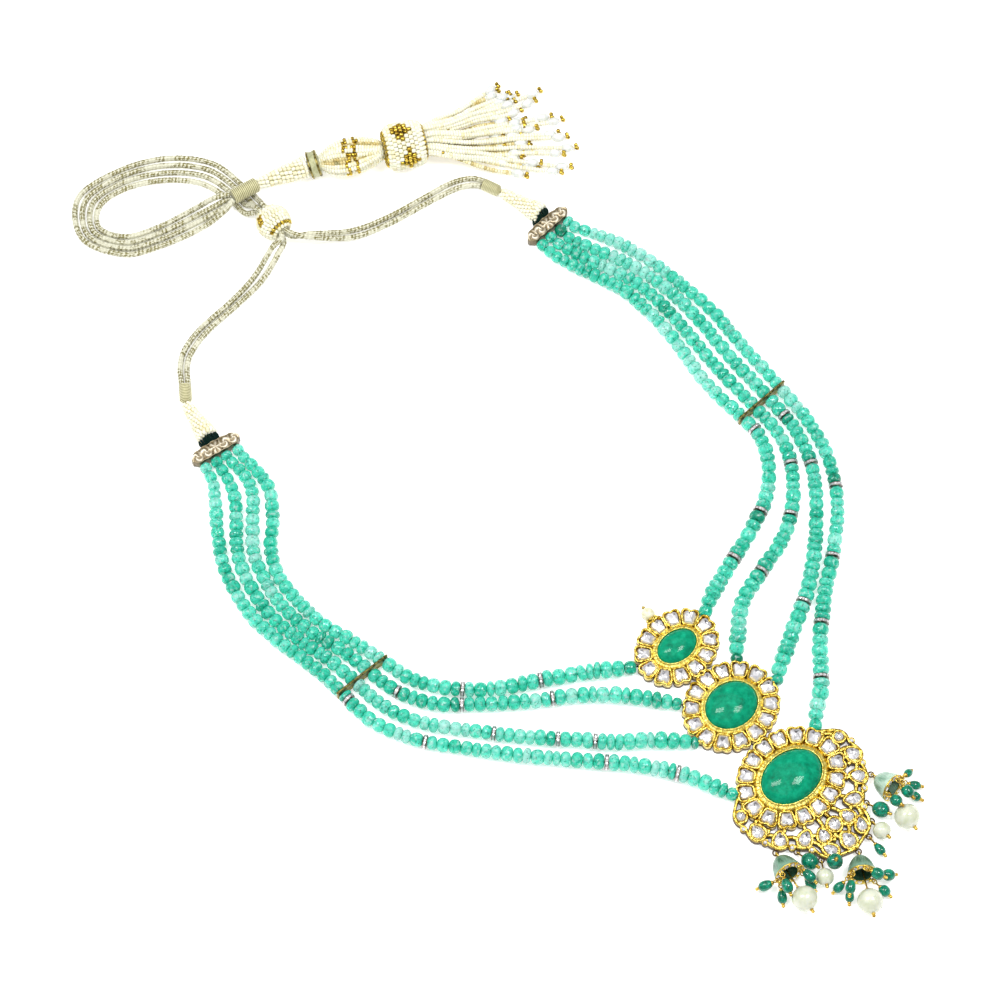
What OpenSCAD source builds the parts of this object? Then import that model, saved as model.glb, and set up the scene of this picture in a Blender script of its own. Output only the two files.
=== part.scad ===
// Polki necklace lying on a table: four strings of green beads on each side, three
// pendants with green cabochons, drops, and four cords that run through a slider to a tassel.
// Millimetres. The backs of the pendants lie on z = 0, the drops point to -Y and the cords to +Y.

/* [Strings of beads] */
// Largest bead, near the pendants
bead_d = 6; // [5.6:0.1:6.2]
// Smallest bead, at the end bars
bead_top_d = 4.9; // [4.7:0.1:5]
// Bead next to a pendant
bead_end_d = 4.3; // [4.2:0.1:4.5]
// Loss of bead diameter for each millimetre of string
bead_taper = 0.012; // [0.011:0.001:0.014]
// Length of string that one bead takes
bead_pitch = 3.6; // [3.4:0.1:4]
// Thickness of the beading thread
thread_d = 0.6; // [0.4:0.1:0.7]
// Hole in beads, spacers and bars
bore_d = 1.4; // [1.2:0.1:1.5]
// Thickness of a diamond spacer along the string
spacer_t = 1.5; // [1.2:0.1:1.8]

/* [Pendants] */
// Height of the gold body under the stones
body_h = 2.8; // [2.7:0.1:3]
// Height of the gold walls round the stones
wall_h = 3.5; // [3.3:0.1:3.8]
// Thickness of the gold walls
wall_t = 0.55; // [0.45:0.05:0.6]
// Height of the rim round a cabochon
rim_h = 4; // [3.8:0.1:4.3]
// Height of the flat stones above the table
stone_h = 3.9; // [3.7:0.1:4.1]
// Height of the smallest cabochon above the table
cabochon_h = 6.4; // [5.8:0.1:7]

/* [Drops] */
// Diameter of a large pearl
pearl_d = 8.7; // [8.4:0.1:8.8]
// Diameter of a small pearl
small_pearl_d = 6; // [5.6:0.1:6.1]
// Diameter of a carved dome at its rim
dome_d = 9.6; // [9:0.1:10]
// Thickness of a dome's wall
dome_wall = 1; // [0.8:0.1:1.2]
// Thickness of the gold head pins
pin_d = 0.6; // [0.5:0.1:0.7]

/* [Cords and tassel] */
// Thickness of each braided cord
cord_d = 2.2; // [2:0.1:2.3]
// Diameter of the slider
slider_d = 12.8; // [12.4:0.1:13.2]
// Diameter of the woven barrel on the tassel
barrel_d = 17.4; // [16.8:0.1:17.6]
// Number of locks in the tassel's skirt
locks = 13; // [9:1:15]

/* [Hidden] */
$fn = 24;
clearance = 0.12;

// Pendants: centre x and y, petals, half length and half breadth of the ring of stones,
// half length and half breadth of the cabochon
PX = 0; PY = 1; PETALS = 2; RING_A = 3; RING_B = 4; CAB_A = 5; CAB_B = 6;
pendants = [
    [0, -59.5, 12, 12.2, 9.5, 7.5, 5.3],
    [0, -87.2, 14, 14, 12, 9.5, 7.9],
    [-1.5, -119, 16, 16.5, 13.4, 11.3, 8.5]];

// Strings, from the thread's end inside a pendant to its end inside an end bar: side, route,
// places of the diamond spacers along it, and the spacer past which the beads are a plain tube
SIDE = 0; ROUTE = 1; SPACERS = 2; SPLIT = 3;
strings = [
    ["left", [[-12.5, -57.2], [-15.5, -55.6], [-20, -53], [-30, -46.3], [-43, -39], [-58, -30.5],
        [-70, -19.5], [-76.5, -9], [-79, 0.6], [-82, 11.5], [-85.8, 23], [-87.4, 34], [-87, 46],
        [-82.5, 57], [-74.5, 66], [-69, 75], [-67.8, 84], [-68.1, 91.7], [-67.3, 97.6]],
        [35.5, 62], 1],
    ["left", [[-10.4, -78.2], [-12.8, -75.4], [-16.8, -70.7], [-27, -59.3], [-39, -50], [-52, -41.5],
        [-63.5, -33], [-76, -22], [-82.5, -11], [-85, 0.6], [-87.3, 12], [-91, 24], [-92.6, 36],
        [-91.6, 48], [-87.4, 60.5], [-80, 70], [-74, 78], [-72.2, 85.5], [-72.4, 92.3],
        [-71.6, 98.2]],
        [46.5, 77, 99.5], 0],
    ["left", [[-14.2, -91.2], [-17.4, -89.2], [-22, -84.9], [-29, -78.7], [-38, -72.2], [-48, -62.5],
        [-59.5, -51.5], [-73, -37], [-83, -25], [-89, -13], [-91, 0.6], [-92.6, 12], [-96, 25],
        [-97.7, 37], [-96.8, 49], [-93.3, 61], [-86.2, 71.5], [-80.6, 79], [-77.8, 86.2],
        [-76.8, 92.9], [-75.9, 98.8]],
        [37.5, 50, 71.5], 2],
    ["left", [[-17.4, -114.4], [-19.5, -111.6], [-22.3, -106.5], [-28.7, -94.5], [-39.5, -81],
        [-52, -68.5], [-66, -54.5], [-79, -40], [-89, -27.5], [-95.5, -14], [-97, 0.6], [-98, 12],
        [-101, 25.5], [-102.8, 38], [-102, 50], [-98.9, 62], [-92.7, 73.5], [-87, 82], [-82.6, 88.5],
        [-81.1, 93.5], [-80.3, 99.4]],
        [24, 48, 109, 139.5], 1],
    ["right", [[12, -58.4], [14.6, -56.9], [20, -53.5], [31, -49.3], [46, -44], [60, -37.5],
        [69.5, -28], [74, -18], [74, -9.8], [73.2, 3], [73.8, 15], [75.6, 27], [76.2, 40],
        [75.2, 53], [71.3, 65], [67.2, 75], [65.2, 82], [65, 86.3], [64.6, 91.3]],
        [27, 47, 79.5], 1],
    ["right", [[9.9, -78.3], [12.3, -75.9], [16.8, -71.4], [28, -61.5], [42.5, -56.5], [55, -52.3],
        [65.5, -45], [74.5, -34.5], [79.4, -23], [80, -9.5], [80, 3], [80.3, 15], [81.2, 28],
        [81.6, 41], [80.4, 53], [76.5, 65], [72.1, 75], [69.8, 82], [69.3, 86.6], [68.9, 91.6]],
        [38, 62, 81.5], 1],
    ["right", [[14.3, -92.2], [17, -90.6], [22, -87.3], [33, -80.8], [49, -71.5], [61, -61.5],
        [72, -50], [80.5, -38], [85.2, -24], [86, -9.2], [86.2, 3], [86.6, 15], [87.6, 28],
        [87.4, 41], [85.6, 53], [81.8, 65], [77.2, 75], [74.3, 82], [73.7, 86.8], [73.3, 91.8]],
        [34.5, 87, 107.5], 0],
    ["right", [[14.2, -114], [16.2, -111.4], [20, -107.5], [28, -101], [38.5, -89], [51, -77.5],
        [64, -67.5], [76, -56.5], [84.5, -44.5], [90, -29.5], [92, -9], [92.3, 6], [93, 18],
        [93.6, 30], [92.3, 43], [90, 57], [86.4, 69], [82.6, 77.5], [79.2, 83.5], [78, 87.1],
        [77.6, 92.1]],
        [22, 42, 67, 93.5], 2]];

// The bars that the strings run through: middle x and y, turn, length
BAR_X = 0; BAR_Y = 1; BAR_TURN = 2; BAR_L = 3;
end_bars = [[-73.8, 98.5, -7.7, 17.6], [71.1, 91.7, 3.8, 17.6]];
strand_bars = [[-88, 0.6, 0, 21.6], [83, -9.4, 2.4, 21.6]];
string_gap = 4.35;
bar_bead_d = 4.2;
end_bar_w = 4.6;
end_bar_h = 4.8;
strand_bar_t = 1;
strand_bar_h = 5.2;
lead = 3.7;

// Where the cone of seed pearls, the wrap and the cords begin behind each end bar
cone_starts = [[-73.2, 104.4, 3.9], [71.6, 97.2, 3.9]];
cone_ends = [[-71, 119, 2.3], [67.4, 112.6, 2.3]];
wrap_ends = [[-66.8, 125, 2.2], [64.6, 119.6, 2.2]];
wrap_d = 4.4;

// Cords, from the wrap to the tassel: under the tassel's wrap, round the loop and back to it
cord_routes = [
    // left pair: the inner cord of the loop and the next one
    [[-65.7, 124.5, 2.2], [-61.2, 131, 1.2], [-56, 134.5, 1.15], [-47, 137.2, 1.15],
        [-33, 138.6, 1.15], [-20.5, 140.3, 1.6], [-10.5, 143.6, 4.4], [-5.15, 147.2, 5.3],
        [-5.15, 159.8, 5.3], [-8.2, 165.4, 1.9], [-8.6, 172.5, 1.15], [-12.3, 185, 1.15],
        [-21.5, 194.6, 1.15], [-34, 201, 1.15], [-45.5, 201.6, 1.15], [-51.6, 194.5, 1.15],
        [-46.5, 185.6, 1.15], [-35.5, 181.2, 1.15], [-22.5, 178.6, 1.8], [-14.2, 175.4, 5.9],
        [-8.95, 172.8, 6.55]],
    [[-67.6, 125.8, 2.2], [-63, 132.6, 1.2], [-57.2, 136.9, 1.15], [-47.6, 139.6, 1.15],
        [-33.4, 141, 1.15], [-21.8, 142.9, 2.4], [-11.2, 145.8, 7], [-5.15, 147.6, 7.6],
        [-5.15, 159.8, 7.6], [-5.35, 164, 5.6], [-5.9, 168, 1.8], [-6.2, 172.6, 1.15],
        [-9.5, 186.3, 1.15], [-19.7, 197, 1.15], [-33.6, 203.6, 1.15], [-47, 204, 1.15],
        [-54, 194.6, 1.15], [-48, 183.7, 1.15], [-36, 178.8, 1.15], [-22.6, 175.8, 1.8],
        [-14, 173.4, 3.9], [-9, 172.7, 4.25]],
    [[65.55, 120.35, 2.2], [62.8, 124.6, 1.4], [56, 127.8, 1.15], [43.5, 129.6, 1.15],
        [30, 131.6, 1.15], [17, 135.4, 1.4], [4, 142.4, 4.6], [-2.85, 147.2, 5.3],
        [-2.85, 159.8, 5.3], [-3.7, 165.4, 1.9], [-3.85, 172.7, 1.15], [-6.9, 187.7, 1.15],
        [-17.9, 199.4, 1.15], [-33.2, 206.1, 1.15], [-48.6, 206.4, 1.15], [-56.4, 194.8, 1.15],
        [-49.5, 181.9, 1.15], [-36.6, 176.4, 1.15], [-23, 173.3, 1.8], [-14.5, 171, 3.9],
        [-9.1, 170.4, 4.25]],
    [[63.3, 119.6, 2.2], [61, 122.4, 1.4], [55, 125.2, 1.15], [43, 127.2, 1.15],
        [29.2, 129.2, 1.15], [15.5, 132.9, 1.8], [3, 140.2, 6.4], [-2.85, 147.6, 7.6],
        [-2.85, 159.8, 7.6], [-2.3, 164, 5.6], [-1.3, 168, 1.8], [-1.5, 172.8, 1.15],
        [-4.3, 189, 1.15], [-16.1, 201.7, 1.15], [-32.8, 208.6, 1.15], [-50.2, 208.8, 1.15],
        [-58.8, 195, 1.15], [-51, 180.1, 1.15], [-37.2, 174, 1.15], [-23.4, 170.7, 1.8],
        [-14.8, 168.9, 5.8], [-9.5, 170.2, 6.5]]];
slider_at = [-4, 153.8, 6.45];
slider_l = 11.6;
slider_bore = 6;

// Stations along the tassel
tassel_head = [-8.6, 171.6, 5.5];
tassel_neck = [1.4, 170.2, 5.5];
tassel_collar = [19.6, 164.2, 5.75];
bulb_start = [23.8, 162.2, 6.5];
barrel_start = [43.6, 150.6, 8.8];
barrel_end = [57.4, 143.8, 8.8];
tassel_wrap_d = 5.6;

// Eyelets on the edge of the third pendant: x, y and the point of the edge that each is soldered to
eyelets = [[-22.8, -135, -21.8, -133.4], [-1.5, -152.2, -1.5, -151], [19.8, -135, 18.9, -133.4],
    [-17.2, -139.2, -16.6, -137.6], [-12.9, -146.5, -11.9, -145.5], [-10.9, -149.4, -10.2, -148.4],
    [11.9, -141.4, 11, -140.2], [8.9, -147.2, 8, -146.4], [4.6, -150.6, 4.4, -149.4]];
eyelet_z = 1.8;
// Domes hang on the first three eyelets: turn of the axis and rise toward the rim
domes = [[-104, 20], [-126.8, 20], [-81, 20]];
dome_h = 7;
dome_link = 2.5;
// Drops: what holds each (0 to 2 a dome's rim, at an angle; 3 to 5 inside a dome; 10 up an
// eyelet), the angle, its middle and its width
HOLDER = 0; ANGLE = 1; PLACE = 2; WIDTH = 3;
large_pearls = [[3, 0, [-26.6, -153.3, 4.5], 0], [4, 0, [-10.8, -167.7, 4.5], 0],
    [5, 0, [18.2, -154, 4.5], 0]];
pearl_drops = [[14, 0, [-16.2, -151.8, 3.15], 0], [17, 0, [8.9, -152, 3.15], 0]];
green_beads = [[13, 0, [-16.4, -144.6, 3.1], 5.9], [15, 0, [-11.2, -150.6, 6.9], 5.8],
    [16, 0, [13.6, -146.4, 3.1], 5.8], [18, 0, [4.4, -156, 1.9], 3.4],
    [0, 180, [-33.1, -141.5, 3.4], 3.8], [0, 210, [-31.2, -147.6, 2], 3.5],
    [0, 130, [-28.9, -146.8, 7.6], 3.9], [0, 345, [-21.2, -150.3, 2.2], 3.6],
    [0, 30, [-20.8, -148.7, 6.4], 3.8],
    [1, 180, [-14.8, -157.2, 2.6], 3.4], [1, 140, [-13, -160.3, 6.8], 3.6],
    [1, 210, [-14, -161.6, 1.9], 3.2], [1, 80, [-3.8, -163, 8.6], 4.4],
    [1, 0, [0.2, -164.7, 3.4], 4.4], [1, 325, [-4.2, -167.7, 2.2], 4],
    [2, 15, [28.9, -142.9, 3.6], 3], [2, 340, [28.2, -147.2, 2.6], 3.2],
    [2, 60, [23.4, -148.2, 7.4], 4.4], [2, 310, [25.9, -149.9, 1.8], 3.2],
    [2, 150, [18, -148.3, 8.3], 4.2]];
eye_r = 0.8;

function mix(a, b, t) = a + (b - a) * t;
function unit(v) = v / norm(v);

// A smooth curve through hand-set points
function knot(p, i) = p[max(0, min(len(p) - 1, i))];
function curve_point(p, i, t) =
    let (a = knot(p, i - 1), b = knot(p, i), c = knot(p, i + 1), d = knot(p, i + 2))
    0.5 * (2 * b + (c - a) * t + (2 * a - 5 * b + 4 * c - d) * t * t + (3 * b - a - 3 * c + d) * t * t * t);
function curve(p, steps = 8) =
    [for (i = [0:len(p) - 2], k = [0:steps - 1]) curve_point(p, i, k / steps), p[len(p) - 1]];
function lengths(p) =
    [for (i = 0, s = 0; i < len(p); s = s + (i + 1 < len(p) ? norm(p[i + 1] - p[i]) : 0), i = i + 1) s];
function span(run, s) = max([0, for (i = [0:len(run) - 2]) if (run[i] <= s) i]);
function at(p, run, s) = let (i = span(run, s)) mix(p[i], p[i + 1], (s - run[i]) / (run[i + 1] - run[i]));

// Bead radius at a place along a string, which is also the thread's height above the table
function bead_r(s, run) =
    min(max(bead_top_d, bead_d - bead_taper * s), bead_end_d + 0.22 * max(0, s - lead),
        bar_bead_d + 0.05 * max(0, run[len(run) - 1] - s - 9)) / 2;
function on_string(p, run, s) = let (q = at(p, run, s)) [q[0], q[1], bead_r(s, run) + 0.02];
function along(p, run, s) = unit(on_string(p, run, s + 0.4) - on_string(p, run, s - 0.4));

// Rings of points round a route, for tubes
function ring(c, dir, r, sides) = let (side = unit(cross([0, 0, 1], dir)), up = cross(dir, side))
    [for (k = [0:sides - 1]) let (a = 360 * (k + 0.5) / sides) c + r * (cos(a) * side + sin(a) * up)];

// A closed solid through rings of points
module skin(rings) {
    n = len(rings[0]);
    last = (len(rings) - 1) * n;
    polyhedron(
        points = [for (r = rings) each r],
        faces = concat([[for (k = [0:n - 1]) k]],
            [for (j = [0:len(rings) - 2], k = [0:n - 1]) let (a = j * n + k, b = j * n + (k + 1) % n)
                each [[a, a + n, b + n], [a, b + n, b]]],
            [[for (k = [n - 1:-1:0]) last + k]]));
}

// Places children with their Z axis along dir
module aim(p, dir) {
    translate(p) rotate([0, acos(dir[2] / norm(dir)), atan2(dir[1], dir[0])]) children();
}

module rod(a, b, d) {
    aim(a, b - a) cylinder(d = d, h = norm(b - a));
}

// Petals stand on an ellipse, evenly spaced along it
function petal_turn(m, k) = let (f = 90 + 360 * k / m[PETALS], a = m[RING_A], b = m[RING_B])
    f + 28.6 * (a - b) / (a + b) * sin(2 * f);
function petal_w(m) = 3.1416 * sqrt((m[RING_A] * m[RING_A] + m[RING_B] * m[RING_B]) / 2) / m[PETALS];

module at_petal(m, k) {
    t = petal_turn(m, k);
    translate([m[PX] + m[RING_A] * cos(t), m[PY] + m[RING_B] * sin(t)])
        rotate(atan2(m[RING_A] * sin(t), m[RING_B] * cos(t)) - 90) children();
}

// Outline of a petal with two lobes, shrunk by a margin; w is half its width
function petal(w, m = 0) = let (a = w * 0.8 - m, b = w - m, top = 2.9 - m)
    [[-a, -3 + m], [a, -3 + m], [b, 0.9], [b - 0.35, top - 0.75], [b * 0.5, top],
        [0, top - 0.45], [-b * 0.5, top], [-b + 0.35, top - 0.75], [-b, 0.9]];
// Outline of a flat stone: pointed to the middle, with a notch outside
function stone(w, more = 0) = let (a = w * 0.45 + more, b = w - wall_t - clearance + more)
    [[-a, -2.1 - more], [a, -2.1 - more], [b - 0.15, -0.8], [b - 0.1, 0.9], [b * 0.5, 2.15 + more],
        [0, 1.8 + more], [-b * 0.5, 2.15 + more], [-b + 0.1, 0.9], [-b + 0.15, -0.8]];
function ellipse(a, b, n = 40) = [for (k = [0:n - 1]) [a * cos(360 * k / n), b * sin(360 * k / n)]];

// A cut stone: straight girdle, slanted facets and a flat table
module cut_stone(outline, low, high, table = 0.55) {
    function level(z, s) = [for (q = outline) [q[0] * s, q[1] * s, z]];
    skin([level(low, 0.95), level(mix(low, high, 0.45), 1), level(high, table)]);
}

module petals_flat(m, margin = 0) {
    for (k = [0:m[PETALS] - 1]) at_petal(m, k) polygon(petal(petal_w(m) - 0.08, margin));
}

// Blind holes that take the ends of the threads, on the side of a pendant
module thread_holes(list) {
    for (i = list) let (p = strings[i][ROUTE], dir = unit([each p[1] - p[0], 0]))
        aim([p[0][0], p[0][1], 2] - dir * 0.4, dir) cylinder(d = 1.4, h = 9);
}

// A slot in the back with a post that holds a flat link; side is 1 where the link leaves to +Y
slot_w = 2.8;
slot_h = 1.4;
post_in = 2.2;
link_wire = 0.7;
link_half = 0.88;
function post_y(m, side) = m[PY] + side * (m[RING_B] + 2.45 - post_in);
module slot(x, m, side) {
    y = post_y(m, side);
    difference() {
        translate([x - slot_w / 2, min(y - side * 1.5, y + side * 6), -1]) cube([slot_w, 7.5, slot_h + 1]);
        translate([x, y, -1]) cylinder(d = 0.8, h = slot_h + 2);
    }
}

module setting(m) {
    difference() {
        union() {
            linear_extrude(body_h) union() {
                petals_flat(m);
                translate([m[PX], m[PY]]) polygon(ellipse(m[RING_A] - 1, m[RING_B] - 1));
            }
            translate([0, 0, body_h - 0.4]) linear_extrude(wall_h - body_h + 0.4) difference() {
                petals_flat(m);
                for (k = [0:m[PETALS] - 1]) at_petal(m, k) polygon(stone(petal_w(m) - 0.08, clearance));
            }
            translate([m[PX], m[PY], body_h - 0.4])
                linear_extrude(rim_h - body_h + 0.4) polygon(ellipse(m[CAB_A] + 1.3, m[CAB_B] + 1.3));
        }
        translate([m[PX], m[PY], 1]) linear_extrude(9)
            polygon(ellipse(m[CAB_A] + clearance, m[CAB_B] + clearance));
    }
}

module pendant_1() {
    color("goldenrod") {
        difference() {
            setting(pendants[0]);
            thread_holes([0, 4]);
            slot(0, pendants[0], -1);
        }
        top_post();
    }
}

module pendant_2() {
    color("goldenrod") difference() {
        setting(pendants[1]);
        thread_holes([1, 2, 5, 6]);
        slot(0, pendants[1], 1);
        slot(link_x, pendants[1], -1);
    }
}

link_x = -0.75;

// Flat oval link round the posts of two pendants
module link(x, y0, y1) {
    module bend(side) rotate_extrude(angle = 180) translate([link_half, 0]) circle(d = link_wire);
    translate([x, 0, 0.55]) {
        translate([0, y1, 0]) bend(1);
        translate([0, y0, 0]) rotate(180) bend(1);
        for (side = [-1, 1]) translate([side * link_half, y0, 0]) rotate([-90, 0, 0])
            cylinder(d = link_wire, h = y1 - y0);
    }
}

module links() {
    color("goldenrod") {
        link(0, post_y(pendants[1], 1), post_y(pendants[0], -1));
        link(link_x, post_y(pendants[2], 1), post_y(pendants[1], -1));
    }
}

// Lattice round the third pendant: stones by place, half length, half width and turn,
// given for the right side and mirrored, with those on the middle line once
LX = 0; LY = 1; LA = 2; LB = 3; LTURN = 4;
lattice = [[21.9, 0.6, 1.6, 1.6, 0], [21.3, -6.9, 2.6, 2.3, 100], [17.4, -13.8, 2.6, 2.1, 130],
    [10.7, -18.8, 2.8, 2.1, 150], [5.3, -21.9, 2.3, 1.9, 105], [6.9, -27, 2.6, 1.8, 65]];
lattice_mid = [[0, -21.3, 2.2, 2.2, 0], [0, -28.1, 2.8, 2.3, 90]];
lattice_all = concat(lattice, [for (s = lattice) [-s[LX], s[LY], s[LA], s[LB], 180 - s[LTURN]]], lattice_mid);
// Outer edge of the lattice, right side, relative to the pendant's middle: it bulges round the stones
lattice_edge = [[17.6, 6.6], [22.4, 3.2], [24.1, 0.2], [23.5, -3.2], [24, -7.4], [21.4, -11.2], [20.2, -14.6],
    [15.8, -17.9], [13.8, -20.4], [11.2, -22.8], [10.4, -26.4], [8.2, -29.4], [4.4, -30.6], [0, -32]];
// Gold dots with a small stone on the edge
edge_dots = [[24.1, -3.2], [21.7, -11.3], [16.1, -18.3], [11.6, -23]];
// Wires between the stones: from x, y to x, y
lattice_wires = [[17.5, 5, 21.5, 1.5], [18.5, -3.5, 21.5, -4], [17.5, -8.5, 21, -9.5],
    [20.5, -9.5, 17.5, -12],
    [13.5, -12, 16.5, -12.5], [15.5, -14.5, 12.5, -17.5], [8, -15, 10, -18], [9, -19.5, 6.5, -21],
    [3, -16, 4.5, -21], [3.4, -21, 1, -21], [0, -15.8, 0, -20], [5.5, -23, 6.5, -26],
    [3.8, -23.5, 1, -27], [6.5, -28.5, 5.5, -30.8], [1, -22, 4, -25.5], [10, -20.5, 8.5, -25.5]];

module both_sides() {
    children();
    mirror([1, 0]) children();
}

module stroke(a, b, w) {
    d = unit(b - a);
    s = [-d[1], d[0]] * w / 2;
    polygon([a - s, b - s, b + s, a + s]);
}

module lattice_flat() {
    edge = curve(lattice_edge, 2);
    both_sides() {
        for (i = [0:len(edge) - 2]) stroke(edge[i], edge[i + 1] + unit(edge[i + 1] - edge[i]) * 0.25, 1);
        for (d = edge_dots) translate(d) circle(r = 1.25, $fn = 10);
        for (w = lattice_wires) stroke([w[0], w[1]], [w[2], w[3]], 1);
    }
    for (s = lattice_all) translate([s[LX], s[LY]]) rotate(s[LTURN])
        polygon(drop_outline(s[LA] + wall_t + clearance, s[LB] + wall_t + clearance));
}

// Outline of a drop-shaped or round stone with 10 corners
function drop_outline(a, b) = [for (k = [0:9]) let (t = 36 * k + 18)
    [a * cos(t), b * sin(t) * (1 - 0.18 * cos(t) * (a > b ? 1 : 0))]];

module pendant_3() {
    m = pendants[2];
    color("goldenrod") {
        difference() {
            union() {
                setting(m);
                translate([m[PX], m[PY], 0.4]) linear_extrude(wall_h - 0.9) difference() {
                    lattice_flat();
                    polygon(ellipse(m[RING_A] - 1, m[RING_B] - 1));
                }
            }
            translate([m[PX], m[PY], 1.6]) linear_extrude(4)
                for (s = lattice_all) translate([s[LX], s[LY]]) rotate(s[LTURN])
                    polygon(drop_outline(s[LA] + clearance, s[LB] + clearance));
            thread_holes([3, 7]);
            slot(link_x, m, 1);
        }
        eyelet_plates();
    }
}

module cabochon(m, h) {
    color("mediumseagreen") translate([m[PX], m[PY], 0]) skin([
        for (j = [0:7])
            let (t = j < 2 ? 0 : (j - 1) * 14.2, z = j == 0 ? 1.15 : mix(3.2, h, sin(t)), s = cos(t))
            [for (k = [0:27]) let (a = 360 * k / 28) [m[CAB_A] * s * cos(a), m[CAB_B] * s * sin(a), z]]]);
}

module cabochon_1() { cabochon(pendants[0], cabochon_h); }
module cabochon_2() { cabochon(pendants[1], cabochon_h + 0.9); }
module cabochon_3() { cabochon(pendants[2], cabochon_h + 1.2); }

module ring_stones(m) {
    color("gainsboro") for (k = [0:m[PETALS] - 1])
        at_petal(m, k) cut_stone(stone(petal_w(m) - 0.08), body_h + 0.1, stone_h);
}

module polki_stones_1() { ring_stones(pendants[0]); }
module polki_stones_2() { ring_stones(pendants[1]); }
module polki_stones_3() { ring_stones(pendants[2]); }

module lattice_stones() {
    m = pendants[2];
    color("gainsboro") for (s = lattice_all) translate([m[PX] + s[LX], m[PY] + s[LY], 0]) rotate(s[LTURN])
        cut_stone(drop_outline(s[LA], s[LB]), 1.7, stone_h - 0.5);
}

// Beads fill the stretches between spacers evenly
function stops(g) = [for (i = [0:g[SPLIT]]) g[SPACERS][i]];
function stretches(g) = let (e = stops(g))
    [for (i = [0:len(e) - 1]) [i == 0 ? lead : e[i - 1] + spacer_t / 2, e[i] - spacer_t / 2]];
function bead_places(g) = [for (q = stretches(g))
    let (n = round((q[1] - q[0]) / bead_pitch), w = (q[1] - q[0]) / n)
        for (i = [0:n - 1]) [q[0] + w * (i + 0.5), w]];

module bead(r, t) {
    e = t / 2 - 0.16;
    rotate_extrude() polygon([[bore_d / 2, -e], [r * 0.45, -e], [r * 0.85, -e * 0.65], [r, -e * 0.15],
        [r, e * 0.15], [r * 0.85, e * 0.65], [r * 0.45, e], [bore_d / 2, e]]);
}

module beads(i) {
    g = strings[i];
    p = curve(g[ROUTE]);
    run = lengths(p);
    color("mediumaquamarine") for (b = bead_places(g))
        aim(on_string(p, run, b[0]), along(p, run, b[0])) bead(bead_r(b[0], run), b[1]);
}

// The upper stretch of a string: a tube as thick as its beads, thin where it passes a spacer or bar
function neck_list(g, run, p) = concat(
    [for (i = [g[SPLIT] + 1:1:len(g[SPACERS]) - 1]) [g[SPACERS][i], spacer_t / 2 + 0.25]],
    [[bar_place(g, p, run), strand_bar_t / 2 + 0.9]]);
function bar_place(g, p, run) = let (b = strand_bars[g[SIDE] == "left" ? 0 : 1],
    axis = [-sin(b[BAR_TURN]), cos(b[BAR_TURN])],
    hit = [for (i = [0:len(p) - 2]) let (u = (p[i] - [b[BAR_X], b[BAR_Y]]) * axis,
        v = (p[i + 1] - [b[BAR_X], b[BAR_Y]]) * axis)
            if (u < 0 && v >= 0) mix(run[i], run[i + 1], u / (u - v))])
    hit[0];
function between(a, b, step) = let (n = max(1, round((b - a) / step))) [for (i = [0:n]) mix(a, b, i / n)];

module string_tube(i) {
    g = strings[i];
    p = curve(g[ROUTE]);
    run = lengths(p);
    first = g[SPACERS][g[SPLIT]] + spacer_t / 2 + 0.25;
    last = run[len(run) - 1] - end_bar_w / 2 - 0.15;
    necks = neck_list(g, run, p);
    thin = thread_d / 2;
    starts = concat([first], [for (q = necks) q[0] + q[1]]);
    ends = concat([for (q = necks) q[0] - q[1]], [last]);
    stations = concat(
        [for (k = [0:len(starts) - 1]) each concat([[starts[k] - 0.01, thin]],
            [for (s = between(starts[k], ends[k], 11)) [s, bead_r(s, run)]], [[ends[k] + 0.01, thin]])],
        [[run[len(run) - 1], thin]]);
    color("mediumaquamarine")
        skin([for (q = stations) ring(on_string(p, run, q[0]), along(p, run, q[0]), q[1], 8)]);
}

// One thread for each string, through its beads and into the pendant
module threads() {
    color("honeydew") for (g = strings) {
        p = curve(g[ROUTE]);
        run = lengths(p);
        last = g[SPACERS][g[SPLIT]] + spacer_t / 2;
        skin([for (s = between(0, last, 6)) ring(on_string(p, run, s), along(p, run, s), thread_d / 2, 6)]);
    }
}

module diamond_spacers() {
    color("silver") for (g = strings) {
        p = curve(g[ROUTE]);
        run = lengths(p);
        for (s = g[SPACERS]) aim(on_string(p, run, s), along(p, run, s)) spacer(bead_r(s, run) - 0.05);
    }
}

module spacer(r) {
    e = spacer_t / 2 - 0.1;
    rotate_extrude() polygon([[bore_d / 2, -e], [r - 0.3, -e], [r, -e + 0.3], [r, e - 0.3], [r - 0.3, e],
        [bore_d / 2, e]]);
}

// Holes through a bar where the strings of one side cross it
module string_holes(side, b, depth) {
    for (g = strings) if (g[SIDE] == side) {
        p = curve(g[ROUTE]);
        run = lengths(p);
        s = bar_place(g, p, run);
        aim(on_string(p, run, s) - along(p, run, s) * depth, along(p, run, s))
            cylinder(d = bore_d, h = 2 * depth);
    }
}

module strand_bar(side, b) {
    color("saddlebrown") difference() {
        translate([b[BAR_X], b[BAR_Y], 0]) rotate(b[BAR_TURN]) rotate([90, 0, 0])
            translate([0, 0, -strand_bar_t / 2]) linear_extrude(strand_bar_t)
                translate([-b[BAR_L] / 2, 0]) square([b[BAR_L], strand_bar_h]);
        string_holes(side, b, 2);
    }
}

module strand_bar_left() { strand_bar("left", strand_bars[0]); }
module strand_bar_right() { strand_bar("right", strand_bars[1]); }

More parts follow.
